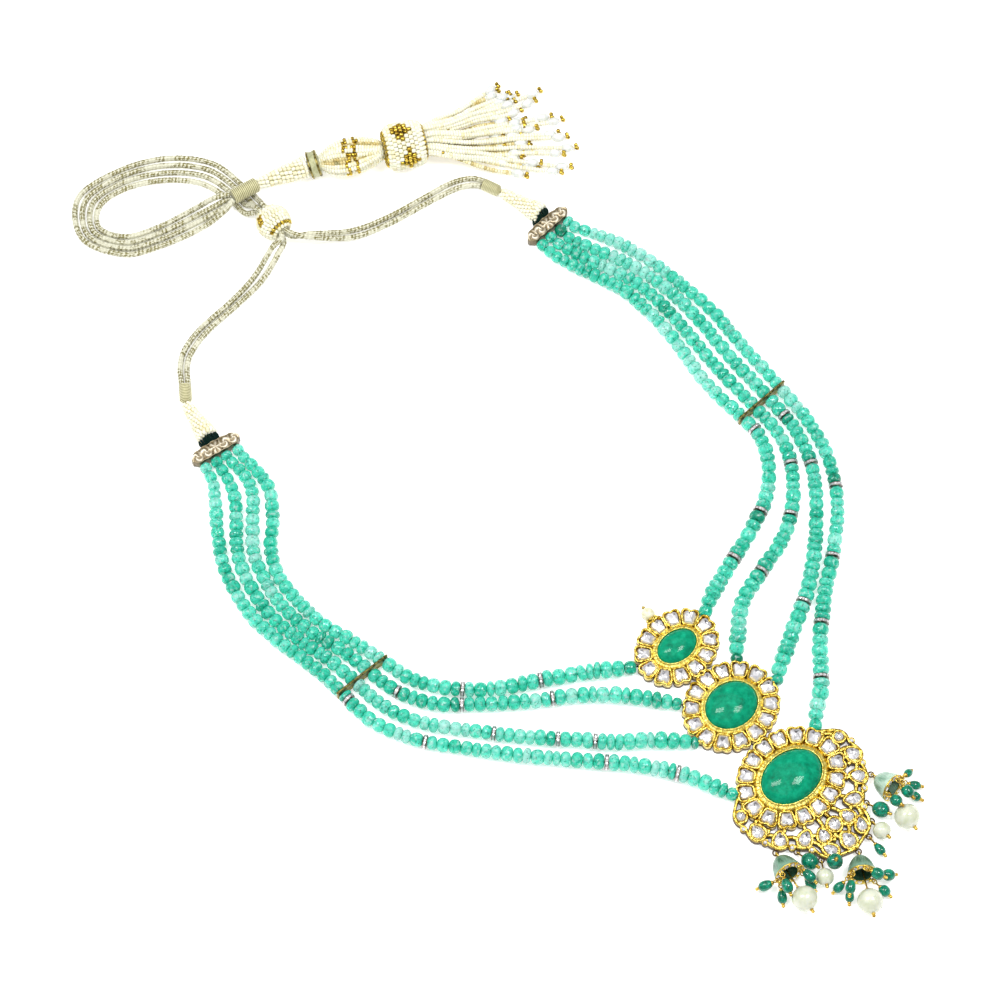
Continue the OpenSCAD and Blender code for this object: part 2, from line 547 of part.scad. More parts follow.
// Curved bar with a carved face, four holes for the strings and one for the tie
module end_bar(b) {
    l = b[BAR_L] / 2;
    w = end_bar_w / 2;
    color("tan") translate([b[BAR_X], b[BAR_Y], 0]) rotate(b[BAR_TURN]) difference() {
        union() {
            linear_extrude(end_bar_h - 0.8) polygon([[-l, -w], [l, -w], [l + 0.6, 0], [l - 0.4, w - 0.4],
                [l * 0.5, w + 0.5], [0, w + 0.8], [-l * 0.5, w + 0.5], [-l + 0.4, w - 0.4], [-l - 0.6, 0]]);
            translate([0, 0, end_bar_h - 0.9]) linear_extrude(0.9)
                polygon([[-l + 0.5, -w + 0.4], [l - 0.5, -w + 0.4], [l, 0], [l - 0.8, w - 0.8],
                    [0, w + 0.2], [-l + 0.8, w - 0.8], [-l, 0]]);
        }
        for (k = [-1.5:1:1.5]) translate([k * string_gap, -w - 1, bar_bead_d / 2]) rotate([-90, 0, 0])
            cylinder(d = bore_d, h = end_bar_w);
        translate([0, w - 1.4, end_bar_h / 2]) rotate([-90, 0, 0]) cylinder(d = 1.6, h = 4);
        for (k = [-3:3]) translate([k * 2.3, -w - 0.3, end_bar_h]) rotate([-90, 0, 0])
            cylinder(d = 0.7, h = 6);
    }
}

module end_bar_left() { end_bar(end_bars[0]); }
module end_bar_right() { end_bar(end_bars[1]); }

// Dark thread that ties the cone to the bar: a knot with a tail that sits in the bar's hole
module tie(k) {
    a = end_bars[k];
    back = [-sin(a[BAR_TURN]), cos(a[BAR_TURN]), 0];
    p = [a[BAR_X], a[BAR_Y], end_bar_h / 2] + back * (end_bar_w / 2 + 0.95);
    l = norm([cone_starts[k][0] - p[0], cone_starts[k][1] - p[1]]) - 0.9;
    color("darkgreen") aim(p - back * 1.7, back) rotate_extrude()
        polygon([[0, 0], [0.5, 0], [0.5, 1.7], [1.2, 1.7], [1.9, 1.7 + l * 0.5], [1.2, 1.7 + l],
            [0, 1.7 + l]]);
}

module ties() {
    tie(0);
    tie(1);
}

module pearl_cone(k) {
    l = norm(cone_ends[k] - cone_starts[k]);
    color("ivory") aim(cone_starts[k], cone_ends[k] - cone_starts[k]) rotate_extrude()
        polygon([[0, 0], [3.3, 0], [3.8, 1], [3.5, 3.5], [2.7, l * 0.55], [2.1, l - 0.8], [1.4, l], [0, l]]);
}

module pearl_cone_left() { pearl_cone(0); }
module pearl_cone_right() { pearl_cone(1); }

module cord_wrap(k) {
    l = norm(wrap_ends[k] - cone_ends[k]);
    r = wrap_d / 2;
    color("khaki") aim(cone_ends[k], wrap_ends[k] - cone_ends[k]) rotate_extrude()
        polygon([[0, 0.5], [0.8, 0.5], [r - 0.1, 1.6], [r, 1.9], [r, l], [0, l]]);
}

module cord_wrap_left() { cord_wrap(0); }
module cord_wrap_right() { cord_wrap(1); }

module cord(i) {
    p = cord_routes[i];
    n = len(p);
    color("palegoldenrod") skin([for (k = [0:n - 1])
        ring(p[k], unit(p[min(n - 1, k + 1)] - p[max(0, k - 1)]), cord_d / 2, 8)]);
}

module cord_left_1() { cord(0); }
module cord_left_2() { cord(1); }
module cord_right_1() { cord(2); }
module cord_right_2() { cord(3); }

module slider() {
    color("ivory") translate(slider_at) rotate([90, 0, 0]) rotate_extrude() intersection() {
        circle(d = slider_d);
        translate([slider_bore / 2, -slider_l / 2]) square([slider_d, slider_l]);
    }
}

module tassel_wrap() {
    color("khaki") rod(tassel_head, tassel_neck, tassel_wrap_d);
}

module tassel_cone() {
    l = norm(tassel_collar - tassel_neck);
    color("ivory") aim(tassel_neck, tassel_collar - tassel_neck) rotate_extrude()
        polygon([[0, 0.5], [1.5, 0.5], [2.2, 1.2], [4.2, l - 1.1], [4, l - 0.4], [2.8, l], [0, l]]);
}

module tassel_ring() {
    l = norm(bulb_start - tassel_collar);
    color("khaki") aim(tassel_collar, bulb_start - tassel_collar) rotate_extrude()
        polygon([[0, 0.7], [2.6, 0.7], [4.9, 1.8], [4.9, l - 1.2], [3.4, l - 0.1], [0, l - 0.1]]);
}

// Lantern of seed-pearl strings, gathered at both ends
module tassel_bulb() {
    l = norm(barrel_start - bulb_start);
    color("ivory") aim(bulb_start, barrel_start - bulb_start) rotate_extrude()
        polygon([[0, 0.4], [2.8, 0.4], [5.4, l * 0.14], [6.8, l * 0.3], [7.3, l * 0.45], [7, l * 0.62],
            [5.8, l * 0.8], [4.4, l * 0.94], [3, l - 0.5], [0, l - 0.5]]);
}

module tassel_barrel() {
    l = norm(barrel_end - barrel_start);
    r = barrel_d / 2;
    color("ivory") aim(barrel_start, barrel_end - barrel_start) rotate_extrude()
        polygon([[0, 0], [3, 0], [r - 2.6, 0.5], [r - 1, 1.6], [r - 0.2, 3.2], [r, l / 2],
            [r - 0.2, l - 3.2], [r - 1, l - 1.2], [r - 2.6, l], [0, l]]);
}

// Skirt: locks fan out of a head, sink to the table and end at different lengths
module tassel_skirt() {
    axis = unit(barrel_end - barrel_start);
    from = barrel_end + axis * 0.2;
    side = [-axis[1], axis[0], 0];
    color("ivory") {
        skin([ring(from, axis, 5.6, 12), ring(from + axis * 6.5 - [0, 0, 1.2], axis, 5.4, 12)]);
        for (k = [0:locks - 1]) {
            u = 2 * k / (locks - 1) - 1;
            reach = 46 - 12 * pow(max(0, u), 6) + 2.5 * sin(k * 137);
            spread = u * 20;
            a = from + axis * 3 + side * u * 4.3 + [0, 0, 1.8 * cos(k * 180)];
            b = from + axis * 15 + side * u * 8.5 + [0, 0, -3.6 + 1.1 * cos(k * 180)];
            c = from + axis * 27 + side * u * 14;
            d = from + axis * reach + side * spread;
            skin([ring(a, axis, 2.6, 6), ring(b, axis, 2.4, 6), ring([c[0], c[1], 2.3], axis, 2.3, 6),
                ring([d[0], d[1], 2], axis, 1.9, 6)]);
        }
    }
}

// Directions of a dome: its axis, one across and one up
function turned(a, e) = [cos(a) * cos(e), sin(a) * cos(e), sin(e)];
function axis_of(i) = turned(domes[i][0], domes[i][1]);
function across(i) = [-sin(domes[i][0]), cos(domes[i][0]), 0];
function upward(i) = cross(axis_of(i), across(i));
function eyelet(i) = [eyelets[i][0], eyelets[i][1], eyelet_z];
function rim_point(i, a) = eyelet(i) + axis_of(i) * (dome_link + dome_h + 0.6)
    + (dome_d / 2 - dome_wall / 2) * (cos(a) * across(i) + sin(a) * upward(i));
function inner_ring(i) = eyelet(i) + axis_of(i) * (dome_link + 1 + eye_r);
// Where a drop hangs, which way, and the axis of the hole that its eye goes through
function hook(d) = d[HOLDER] >= 10 ? eyelet(d[HOLDER] - 10)
    : d[HOLDER] >= 3 ? inner_ring(d[HOLDER] - 3)
    : rim_point(d[HOLDER], d[ANGLE]);
function loop_axis(d) = d[HOLDER] >= 10 ? [0, 0, 1]
    : d[HOLDER] >= 3 ? upward(d[HOLDER] - 3)
    : let (v = cross(axis_of(d[HOLDER]), unit(d[PLACE] - hook(d))))
        norm(v) > 0.2 ? unit(v) : across(d[HOLDER]);
// The pin's eye stands through that hole, and the pin leaves the eye toward the drop
function away(d) = let (v = d[PLACE] - hook(d), n = loop_axis(d)) unit(v - (v * n) * n);
function eye(d) = hook(d) + eye_r * away(d);
function hang(d) = unit(d[PLACE] - eye(d));
function width(d) = d[WIDTH] > 0 ? d[WIDTH] : d[HOLDER] < 10 ? pearl_d : small_pearl_d;
all_drops = concat(large_pearls, pearl_drops, green_beads);

module wire_ring(c, axis, r = eye_r, wire = 0.45) {
    aim(c, axis) rotate_extrude() translate([r, 0]) circle(d = wire, $fn = 16);
}

module eyelet_plates() {
    for (e = eyelets) translate([0, 0, eyelet_z - 0.25]) linear_extrude(0.5) difference() {
        union() {
            translate([e[0], e[1]]) circle(r = 1.15, $fn = 16);
            stroke([e[2], e[3]], [e[0], e[1]], 1);
        }
        translate([e[0], e[1]]) circle(r = 0.65, $fn = 16);
    }
}

// Carved bell with a ring on top, one inside and small loops on its rim
module dome(i) {
    r = dome_d / 2;
    w = dome_wall;
    h = dome_h;
    color("darkseagreen") {
        aim(eyelet(i) + axis_of(i) * dome_link, axis_of(i)) rotate_extrude()
            polygon([[0, -0.4], [0.9, -0.4], [1.1, 0], [r * 0.36, 0.25], [r * 0.6, 1.3], [r * 0.8, 3],
                [r * 0.95, 5], [r, 6.2], [r + 0.1, h], [r - w, h], [r * 0.95 - w, 5], [r * 0.8 - w, 3.2],
                [r * 0.6 - w, 2], [r * 0.3, 1.3], [0, 1.2]]);
        wire_ring(eyelet(i) + axis_of(i) * (dome_link - 0.4 - eye_r), cross(axis_of(i), [0, 0, 1]),
            eye_r + 0.4);
        wire_ring(inner_ring(i), upward(i));
        for (d = green_beads) if (d[HOLDER] == i) wire_ring(hook(d), loop_axis(d));
    }
}

module dome_left() { dome(0); }
module dome_middle() { dome(1); }
module dome_right() { dome(2); }

module pearl(d) {
    r = width(d) / 2;
    color("ivory") aim(d[PLACE], hang(d)) difference() {
        sphere(r = r);
        cylinder(d = 1, h = 2 * r + 2, center = true);
    }
}

module large_pearl_left() { pearl(large_pearls[0]); }
module large_pearl_middle() { pearl(large_pearls[1]); }
module large_pearl_right() { pearl(large_pearls[2]); }
module small_pearls() { for (d = pearl_drops) pearl(d); }

function half_l(d) = width(d) / 2 * (width(d) < 4 ? 1.3 : 1);

module green_drops() {
    color("seagreen") for (d = green_beads) {
        r = d[WIDTH] / 2;
        l = half_l(d);
        aim(d[PLACE], hang(d)) rotate_extrude()
            polygon([[0.45, -l], [r * 0.5, -l * 0.85], [r * 0.86, -l * 0.3], [r, l * 0.2], [r * 0.8, l * 0.7],
                [r * 0.45, l], [0.45, l]]);
    }
}

// Gold pins: an eye, the wire through the drop and a ball at its end
module drop_pins() {
    color("gold") for (d = all_drops) {
        near = eye(d) + hang(d) * (eye_r - 0.02);
        far = d[PLACE] + hang(d) * (half_l(d) + 0.1);
        wire_ring(eye(d), cross(away(d), loop_axis(d)));
        aim(near, hang(d)) cylinder(d = pin_d, h = norm(far - near) + 0.3);
        aim(far + hang(d) * 0.65, hang(d)) sphere(r = 0.65);
    }
}

// Pearl on a headed post with a cup at the top of the first pendant
top_pearl_at = [0.5, -44.1, 2.6];
top_axis = [0.1, 1, 0.05];
module top_post() {
    aim(top_pearl_at, top_axis) {
        translate([0, 0, -3.2]) cylinder(d = pin_d, h = 6.3);
        rotate_extrude() polygon([[0, -3.4], [1, -3.4], [1.7, -2.7], [1.9, -2.1], [1.6, -2],
            [1.3, -2.6], [0, -2.6]]);
        translate([0, 0, 2.55]) cylinder(r = 0.8, h = 0.7);
    }
}

module top_pearl() {
    color("ivory") aim(top_pearl_at, top_axis) difference() {
        sphere(r = 2.4);
        cylinder(d = 1, h = 8, center = true);
    }
}

module beads_left_1() { beads(0); }
module beads_left_2() { beads(1); }
module beads_left_3() { beads(2); }
module beads_left_4() { beads(3); }
module beads_right_1() { beads(4); }
module beads_right_2() { beads(5); }
module beads_right_3() { beads(6); }
module beads_right_4() { beads(7); }
module string_left_1() { string_tube(0); }
module string_left_2() { string_tube(1); }
module string_left_3() { string_tube(2); }
module string_left_4() { string_tube(3); }
module string_right_1() { string_tube(4); }
module string_right_2() { string_tube(5); }
module string_right_3() { string_tube(6); }
module string_right_4() { string_tube(7); }

pendant_1();
pendant_2();
pendant_3();
cabochon_1();
cabochon_2();
cabochon_3();
polki_stones_1();
polki_stones_2();
polki_stones_3();
lattice_stones();
top_pearl();
links();
beads_left_1();
beads_left_2();
beads_left_3();
beads_left_4();
beads_right_1();
beads_right_2();
beads_right_3();
beads_right_4();
string_left_1();
string_left_2();
string_left_3();
string_left_4();
string_right_1();
string_right_2();
string_right_3();
string_right_4();
threads();
diamond_spacers();
strand_bar_left();
strand_bar_right();
end_bar_left();
end_bar_right();
ties();
pearl_cone_left();
pearl_cone_right();
cord_wrap_left();
cord_wrap_right();
cord_left_1();
cord_left_2();
cord_right_1();
cord_right_2();
slider();
tassel_wrap();
tassel_cone();
tassel_ring();
tassel_bulb();
tassel_barrel();
tassel_skirt();
dome_left();
dome_middle();
dome_right();
large_pearl_left();
large_pearl_middle();
large_pearl_right();
small_pearls();
green_drops();
drop_pins();
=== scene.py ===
import bpy
import math
import numpy as np
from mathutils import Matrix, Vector


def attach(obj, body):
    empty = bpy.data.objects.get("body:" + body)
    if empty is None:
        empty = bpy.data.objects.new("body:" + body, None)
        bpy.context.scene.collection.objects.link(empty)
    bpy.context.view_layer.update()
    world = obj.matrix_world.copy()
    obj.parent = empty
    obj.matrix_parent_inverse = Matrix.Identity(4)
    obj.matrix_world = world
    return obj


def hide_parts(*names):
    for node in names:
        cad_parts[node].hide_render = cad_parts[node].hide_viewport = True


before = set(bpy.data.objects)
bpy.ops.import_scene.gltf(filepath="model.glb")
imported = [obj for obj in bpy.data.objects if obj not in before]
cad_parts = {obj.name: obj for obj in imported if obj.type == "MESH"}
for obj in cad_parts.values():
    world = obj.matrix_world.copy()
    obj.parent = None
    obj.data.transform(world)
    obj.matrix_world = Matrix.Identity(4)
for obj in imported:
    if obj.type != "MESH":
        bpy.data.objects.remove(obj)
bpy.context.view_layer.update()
mm = 0.001
rng = np.random.default_rng(28)

# Camera at the photograph's angle: 40 degrees round from -Y toward -X, and 66 degrees up
studio = {"target": (-10, 22, 0), "eye": (-323.7, -351.9, 1096.3), "lens": 125.5, "sensor": 36,
          "clip": (0.05, 20), "floorSize": 6000, "floorTone": (0.93, 0.93, 0.925),
          "floorPatch": (0.9, 0.9, 0.9), "floorGlow": 0.45, "skyTone": (1, 1, 1), "skyStrength": 0.38}
# Soft boxes: place, size and power; the panel lights everything, the small ones put the bright spots
softBoxes = {
    "panel": ((-150, 350, 1500), (2300, 2300), 12.5),
    "spotLeft": ((-270, 210, 900), (190, 420), 4.6),
    "spotRight": ((240, -290, 870), (230, 260), 3.8)}


def addObject(name, data, place=(0, 0, 0)):
    thing = bpy.data.objects.new(name, data)
    thing.location = Vector(place) * mm
    bpy.context.scene.collection.objects.link(thing)
    return thing


def aimed(thing):
    # turns a light or camera so that its -Z axis looks at the target
    way = Vector(studio["target"]) * mm - thing.location
    thing.rotation_euler = way.to_track_quat("-Z", "Y").to_euler()
    return thing


def makeCamera():
    lens = bpy.data.cameras.new("camera")
    lens.lens, lens.sensor_width = studio["lens"], studio["sensor"]
    lens.clip_start, lens.clip_end = studio["clip"]
    bpy.context.scene.camera = aimed(addObject("camera", lens, studio["eye"]))


def makeLights():
    scene = bpy.context.scene
    scene.view_settings.view_transform = "Standard"
    scene.world = bpy.data.worlds.new("sky")
    scene.world.use_nodes = True
    sky = scene.world.node_tree.nodes["Background"].inputs
    sky["Color"].default_value = (*studio["skyTone"], 1)
    sky["Strength"].default_value = studio["skyStrength"]
    for name, (place, size, power) in softBoxes.items():
        light = bpy.data.lights.new(name, "AREA")
        light.shape, light.energy = "RECTANGLE", power
        light.size, light.size_y = size[0] * mm, size[1] * mm
        aimed(addObject(name, light, place))


# Curves and frames

def unit(v):
    return v / np.maximum(np.linalg.norm(v, axis=-1, keepdims=True), 1e-12)


def fullTurn(n):
    return np.arange(n) * 2 * np.pi / n


def oval(a, b, angle):
    return np.stack([a * np.cos(angle), b * np.sin(angle)], -1)


def circle(radius, sides):
    return oval(radius, radius, fullTurn(sides) + np.pi / sides)


def spoke(angle, side, up):
    # the way that lies at an angle from the side toward up
    return np.cos(angle)[..., None] * side + np.sin(angle)[..., None] * up


def heading(turn):
    # the ways along and across something turned about Z by so many degrees
    a = math.radians(turn)
    return np.array([math.cos(a), math.sin(a), 0]), np.array([-math.sin(a), math.cos(a), 0])


def smoothCurve(points, steps=8, closed=False):
    # Catmull-Rom: half of 2b + (c - a)t + (2a - 5b + 4c - d)t^2 + (3b - a - 3c + d)t^3 on each span
    p = np.asarray(points, float)
    if closed:
        a, b, c, d = np.roll(p, 1, 0), p, np.roll(p, -1, 0), np.roll(p, -2, 0)
    else:
        e = np.vstack([p[:1], p, p[-1:]])
        a, b, c, d = e[:-3], e[1:-2], e[2:-1], e[3:]
    t = (np.arange(steps) / steps)[None, :, None]
    a, b, c, d = (q[:, None] for q in (a, b, c, d))
    line = 2 * b + (c - a) * t + (2 * a - 5 * b + 4 * c - d) * t ** 2 + (3 * b - a - 3 * c + d) * t ** 3
    line = line.reshape(-1, p.shape[1]) / 2
    return line if closed else np.vstack([line, p[-1:]])


def softLoop(points):
    # swaps each corner for two points, a quarter of the way along the sides that meet there
    p = np.asarray(points, float)
    after = np.roll(p, -1, 0)
    return np.stack([0.75 * p + 0.25 * after, 0.25 * p + 0.75 * after], 1).reshape(-1, p.shape[1])


def runOf(line):
    return np.concatenate([[0], np.cumsum(np.linalg.norm(np.diff(line, axis=0), axis=1))])


def pointAt(line, run, s):
    return np.stack([np.interp(s, run, line[:, k]) for k in range(line.shape[1])], -1)


def alongAt(line, run, s, step=0.4):
    return unit(pointAt(line, run, s + step) - pointAt(line, run, s - step))


def framesFor(direction, up=(0, 0, 1)):
    # a turned frame for each direction: columns are the side, the upward way and the direction itself
    d = unit(np.atleast_2d(np.asarray(direction, float)))
    up = np.broadcast_to(np.asarray(up, float), d.shape)
    side = np.cross(up, d)
    flat = np.linalg.norm(side, axis=-1, keepdims=True)
    side = unit(np.where(flat > 1e-3, side, np.cross((0.0, 1.0, 0.0), d)))
    return np.stack([side, np.cross(d, side), d], -1)


# Surfaces: a part is points, faces, a map and a tone; a piece is several parts in one mesh

def gridPart(points, ring=False, tone=0):
    # rows by columns of points; columns close around, rows close in a ring or end in caps
    rows, cols = points.shape[:2]
    ids = np.arange(rows * cols).reshape(rows, cols)
    ids = np.hstack([ids, ids[:, :1]])
    if ring:
        ids = np.vstack([ids, ids[:1]])
    r, c = np.indices(ids.shape)
    place = np.stack([c / cols, r / rows], -1)
    near, far = slice(None, -1), slice(1, None)
    corners = [(near, near), (near, far), (far, far), (far, near)]
    faces = [np.stack([ids[q] for q in corners], -1).reshape(-1, 4)]
    maps = [np.stack([place[q] for q in corners], -2).reshape(-1, 4, 2)]
    if not ring:
        for loop, v in ((ids[0, :cols][::-1], 0.0), (ids[-1, :cols], 1.0)):
            faces.append(loop[None])
            maps.append(np.full((1, cols, 2), v))
    return {"points": points.reshape(-1, 3), "faces": faces, "maps": maps, "smooth": True,
            "tone": np.broadcast_to(np.reshape(tone, (-1, 1)), (rows * cols, 3))}


def turnedPart(profile, sides, tone=0, ring=False, wave=None):
    # a profile of radius and height turned about Z; wave(angle, row) scales its radius
    profile = np.asarray(profile, float)
    angle, row = fullTurn(sides), np.arange(len(profile))[:, None]
    r = profile[:, :1] * (wave(angle, row) if wave else np.ones(sides))
    z = np.repeat(profile[:, None, 1:], sides, 1)
    return gridPart(np.concatenate([oval(r, r, angle), z], -1), ring, tone)


upright = np.eye(3)


def copiesOf(part, at, frames, size, tone=None):
    # the part at every place, scaled along its own axes and turned by its frame; each can have a tone
    at = np.atleast_2d(np.asarray(at, float))
    n, k = len(at), len(part["points"])
    sized = part["points"] * np.broadcast_to(size, (n, 3))[:, None]
    points = at[:, None] + np.einsum("nij,nkj->nki", np.broadcast_to(frames, (n, 3, 3)), sized)
    shift = np.arange(n)[:, None, None] * k
    faces = [(f[None] + shift).reshape(-1, f.shape[1]) for f in part["faces"]]
    maps = [np.tile(m, (n, 1, 1)) for m in part["maps"]]
    if tone is None:
        tone = np.tile(part["tone"], (n, 1))
    else:
        tone = np.repeat(np.broadcast_to(np.reshape(tone, (-1, 1)), (n, 3)), k, 0)
    return {"points": points.reshape(-1, 3), "faces": faces, "maps": maps, "smooth": part["smooth"],
            "tone": tone}


def moved(part, at, frames=upright):
    return copiesOf(part, [at], frames, 1)


def flatPart(part):
    return {**part, "smooth": False}


def sweepPart(line, profile, closed=False, up=(0, 0, 1)):
    # a closed profile, sideways and upward, carried along a line
    line = np.asarray(line, float)
    way = np.roll(line, -1, 0) - np.roll(line, 1, 0) if closed else np.gradient(line, axis=0)
    axes = framesFor(way, up)[..., :2].swapaxes(1, 2)
    return gridPart(line[:, None] + np.asarray(profile, float) @ axes, closed)


def ringPart(radius, wire, sides):
    # a wire ring in the XY plane
    return turnedPart(oval(wire, wire, np.pi / 4 + fullTurn(8)) + (radius, 0), sides, ring=True)


def ballPart(rows, cols):
    # unit ball: radius cos(latitude), height sin(latitude)
    lat = np.linspace(-np.pi / 2 * 0.97, np.pi / 2 * 0.97, rows)
    return turnedPart(oval(1, 1, lat), cols)


facetShadeContrast = 0.15  # how far the painted brightness of a cut stone's facets differs, a painted reflection


def putPiece(name, parts, finish, replaces=()):
    faces, maps, smooth, tones, start = [], [], [], [], 0
    for part in parts:
        for f, m in zip(part["faces"], part["maps"]):
            faces += (f + start).tolist()
            maps.append(m.reshape(-1, 2))
            smooth.append(np.full(len(f), part["smooth"]))
            # flat facets get a random painted brightness: painted reflection standing in for each facet
            # catching the light
            facet = 0 if part["smooth"] else rng.normal(0, facetShadeContrast, (len(f), 1, 1))
            tones.append((part["tone"][f] + facet).reshape(-1, 3))
        start += len(part["points"])
    mesh = bpy.data.meshes.new(name)
    mesh.from_pydata((np.concatenate([part["points"] for part in parts]) * mm).tolist(), [], faces)
    mesh.polygons.foreach_set("use_smooth", np.concatenate(smooth))
    mesh.uv_layers.new(name="map").data.foreach_set("uv", np.concatenate(maps).astype(np.float32).ravel())
    tones = np.clip(np.concatenate(tones), 0, 1)
    colours = np.hstack([tones, np.ones((len(tones), 1))]).astype(np.float32)
    mesh.color_attributes.new("tone", "FLOAT_COLOR", "CORNER").data.foreach_set("color", colours.ravel())
    mesh.materials.append(finish)
    piece = addObject(name, mesh)
    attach(piece, "root")
    if replaces:
        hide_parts(*replaces)
    print(name, len(faces), "faces")
    return piece


# Finishes

class Value:
    # a shader output that can be used in sums
    def __init__(self, finish, socket):
        self.finish, self.socket = finish, socket

    def maths(self, operation, *others):
        return self.finish.add("Math", {"operation": operation}, dict(enumerate((self, *others))))

    def __add__(self, other):
        return self.maths("ADD", other)

    def __sub__(self, other):
        return self.maths("SUBTRACT", other)

    def __rsub__(self, other):
        return self.finish.add("Math", {"operation": "SUBTRACT"}, {0: other, 1: self})

    def __mul__(self, other):
        return self.maths("MULTIPLY", other)

    def __pow__(self, other):
        return self.maths("POWER", other)

    __radd__, __rmul__ = __add__, __mul__


class Finish:
    # a material: add makes any node, and shine sets the surface
    def __init__(self, name):
        self.material = bpy.data.materials.new(name)
        self.material.use_nodes = True
        self.tree = self.material.node_tree
        self.surface = self.tree.nodes["Principled BSDF"]

    def add(self, kind, settings=None, inputs=None, out=0):
        node = self.tree.nodes.new("ShaderNode" + kind)
        for key, value in (settings or {}).items():
            if key == "stops":
                ramp = node.color_ramp
                while len(ramp.elements) < len(value):
                    ramp.elements.new(0.5)
                for element, (place, tint) in zip(ramp.elements, value):
                    element.position, element.color = place, (*tint, 1)
            else:
                setattr(node, key, value)
        for key, value in (inputs or {}).items():
            self.join(node.inputs[key], value)
        return Value(self, node.outputs[out])

    def join(self, socket, value):
        if isinstance(value, Value):
            self.tree.links.new(value.socket, socket)
        elif socket.type == "RGBA":
            socket.default_value = (*value, 1)
        else:
            socket.default_value = value

    def place(self):
        return self.add("TexCoord", out="Object")

    def height(self):
        # height over the floor in metres
        return self.add("SeparateXYZ", None, {"Vector": self.place()}, 2)

    def noise(self, size, detail=2, rough=0.5):
        # size is the width of a lump in millimetres
        return self.add("TexNoise", None, {"Vector": self.place(), "Scale": 1 / (size * mm), "Detail": detail,
                                           "Roughness": rough})

    def ramp(self, value, *stops):
        return self.add("ValToRGB", {"stops": stops}, {"Fac": value})

    def mask(self, value, low, high, least=0):
        # the least value below low, 1 above high
        return self.ramp(value, (low, (least, least, least)), (high, (1, 1, 1)))

    def blend(self, share, first, second):
        return self.add("Mix", {"data_type": "RGBA"}, {0: share, 6: first, 7: second}, 2)

    def tone(self):
        return self.add("SeparateColor", None, {"Color": self.add("Attribute", {"attribute_name": "tone"})})

    def mapping(self):
        split = self.add("SeparateXYZ", None, {"Vector": self.add("UVMap", {"uv_map": "map"})})
        return split, Value(self, split.socket.node.outputs[1])

    def bump(self, height, depth):
        # depth in millimetres for a height of 1
        return self.add("Bump", None, {"Height": height, "Distance": depth * mm, "Strength": 1.0})

    def shine(self, **sockets):
        for name, value in sockets.items():
            self.join(self.surface.inputs[name.replace("_", " ")], value)
        return self.material


def goldFinish(name, tint, deep, rough=0.24, grain=0.035, shaded=None):
    # polished hand-worked gold: deeper in lumps, with fine hammering; shaded gold is painted dull and brown
    # below the first height and plain above it by the second, a painted shade on its lower walls
    f = Finish(name)
    lump, fine = f.noise(1.1, 3), f.noise(0.28)
    base = f.blend(f.mask(lump, 0.42, 0.62), tint, deep)
    metal, dull = 1.0, rough + 0.16 * fine
    if shaded:
        start, rise = shaded
        # painted shade: brown, less metal and rougher towards the floor
        unshaded = f.mask(f.height() * (1 / (rise * mm)) + 0.25 * lump - start / rise, 0, 1)
        base = f.blend(unshaded, (0.075, 0.038, 0.006), base)
        metal, dull = 0.2 + 0.8 * unshaded, dull + 0.35 - 0.35 * unshaded
    return f.shine(Base_Color=base, Metallic=metal, Roughness=dull, Normal=f.bump(fine * 0.6 + lump, grain))


def beadFinish():
    # clear green stone with cloudy inclusions, deeper green towards both ends as a painted shade of the
    # grooves between beads, and pale painted highlights; tone is the depth of each bead's green
    f = Finish("bead green")
    cloud, fleck, gleam = f.noise(1.7, 3, 0.6), f.noise(0.7, 2, 0.7), f.noise(1.3)
    middle = 0.444  # of the map, from one end of the bead to the other
    # painted shade: the distance from the bead's middle along the map deepens the green at both ends
    ends = ((f.mapping()[1] - middle) * 3).maths("ABSOLUTE") ** 2
    base = f.ramp(f.tone() + (cloud - 0.5) * 0.75 + 0.12 * ends, (0.03, (0.5, 1, 0.88)),
                  (0.3, (0.13, 0.92, 0.71)), (0.6, (0.025, 0.7, 0.48)), (0.92, (0.002, 0.3, 0.17)))
    base = f.blend(f.mask(fleck, 0.57, 0.64) * 0.8, base, (0.001, 0.22, 0.14))
    # pale spots: painted highlights
    base = f.blend(f.mask(gleam, 0.57, 0.66) * 0.6, base, (0.75, 1, 0.95))
    return f.shine(Base_Color=base, Roughness=0.03 + 0.08 * cloud, IOR=1.5, Transmission_Weight=0.55,
                   Subsurface_Weight=0.3, Subsurface_Radius=(0.4, 1, 0.85), Subsurface_Scale=1.6 * mm,
                   Normal=f.bump(cloud, 0.22))


def stoneFinish(name, pale, mid, deep, size=3.0, clear=0.12, rough=0.05, index=1.25):
    # mottled green cabochon: milky veins over a deeper body
    f = Finish(name)
    cloud, vein, fine = f.noise(size, 4, 0.62), f.noise(size * 0.45, 5, 0.7), f.noise(0.5)
    base = f.ramp(cloud * 0.65 + vein * 0.35, (0.33, deep), (0.48, mid), (0.66, pale))
    return f.shine(Base_Color=base, Roughness=rough + 0.05 * fine, IOR=index, Transmission_Weight=clear,
                   Subsurface_Weight=0.25, Subsurface_Radius=(0.1, 1, 0.7), Subsurface_Scale=1.5 * mm,
                   Normal=f.bump(vein, 0.014))


def polkiFinish():
    # uncut diamond over silver foil: tone gives each facet's grey, which carries painted shade and painted
    # reflection
    f = Finish("polki")
    frost, tint = f.noise(0.7, 3), f.noise(2.5, 1)
    base = f.ramp(f.tone() + (frost - 0.5) * 0.3, (0, (0.03, 0.028, 0.035)), (0.3, (0.27, 0.255, 0.28)),
                  (0.65, (0.54, 0.53, 0.55)), (1, (0.76, 0.75, 0.77)))
    return f.shine(Base_Color=base, Metallic=0.35 + 0.2 * tint, Roughness=0.08 + 0.12 * frost, IOR=2.1,
                   Coat_Weight=1.0, Coat_Roughness=0.02, Coat_IOR=1.9)


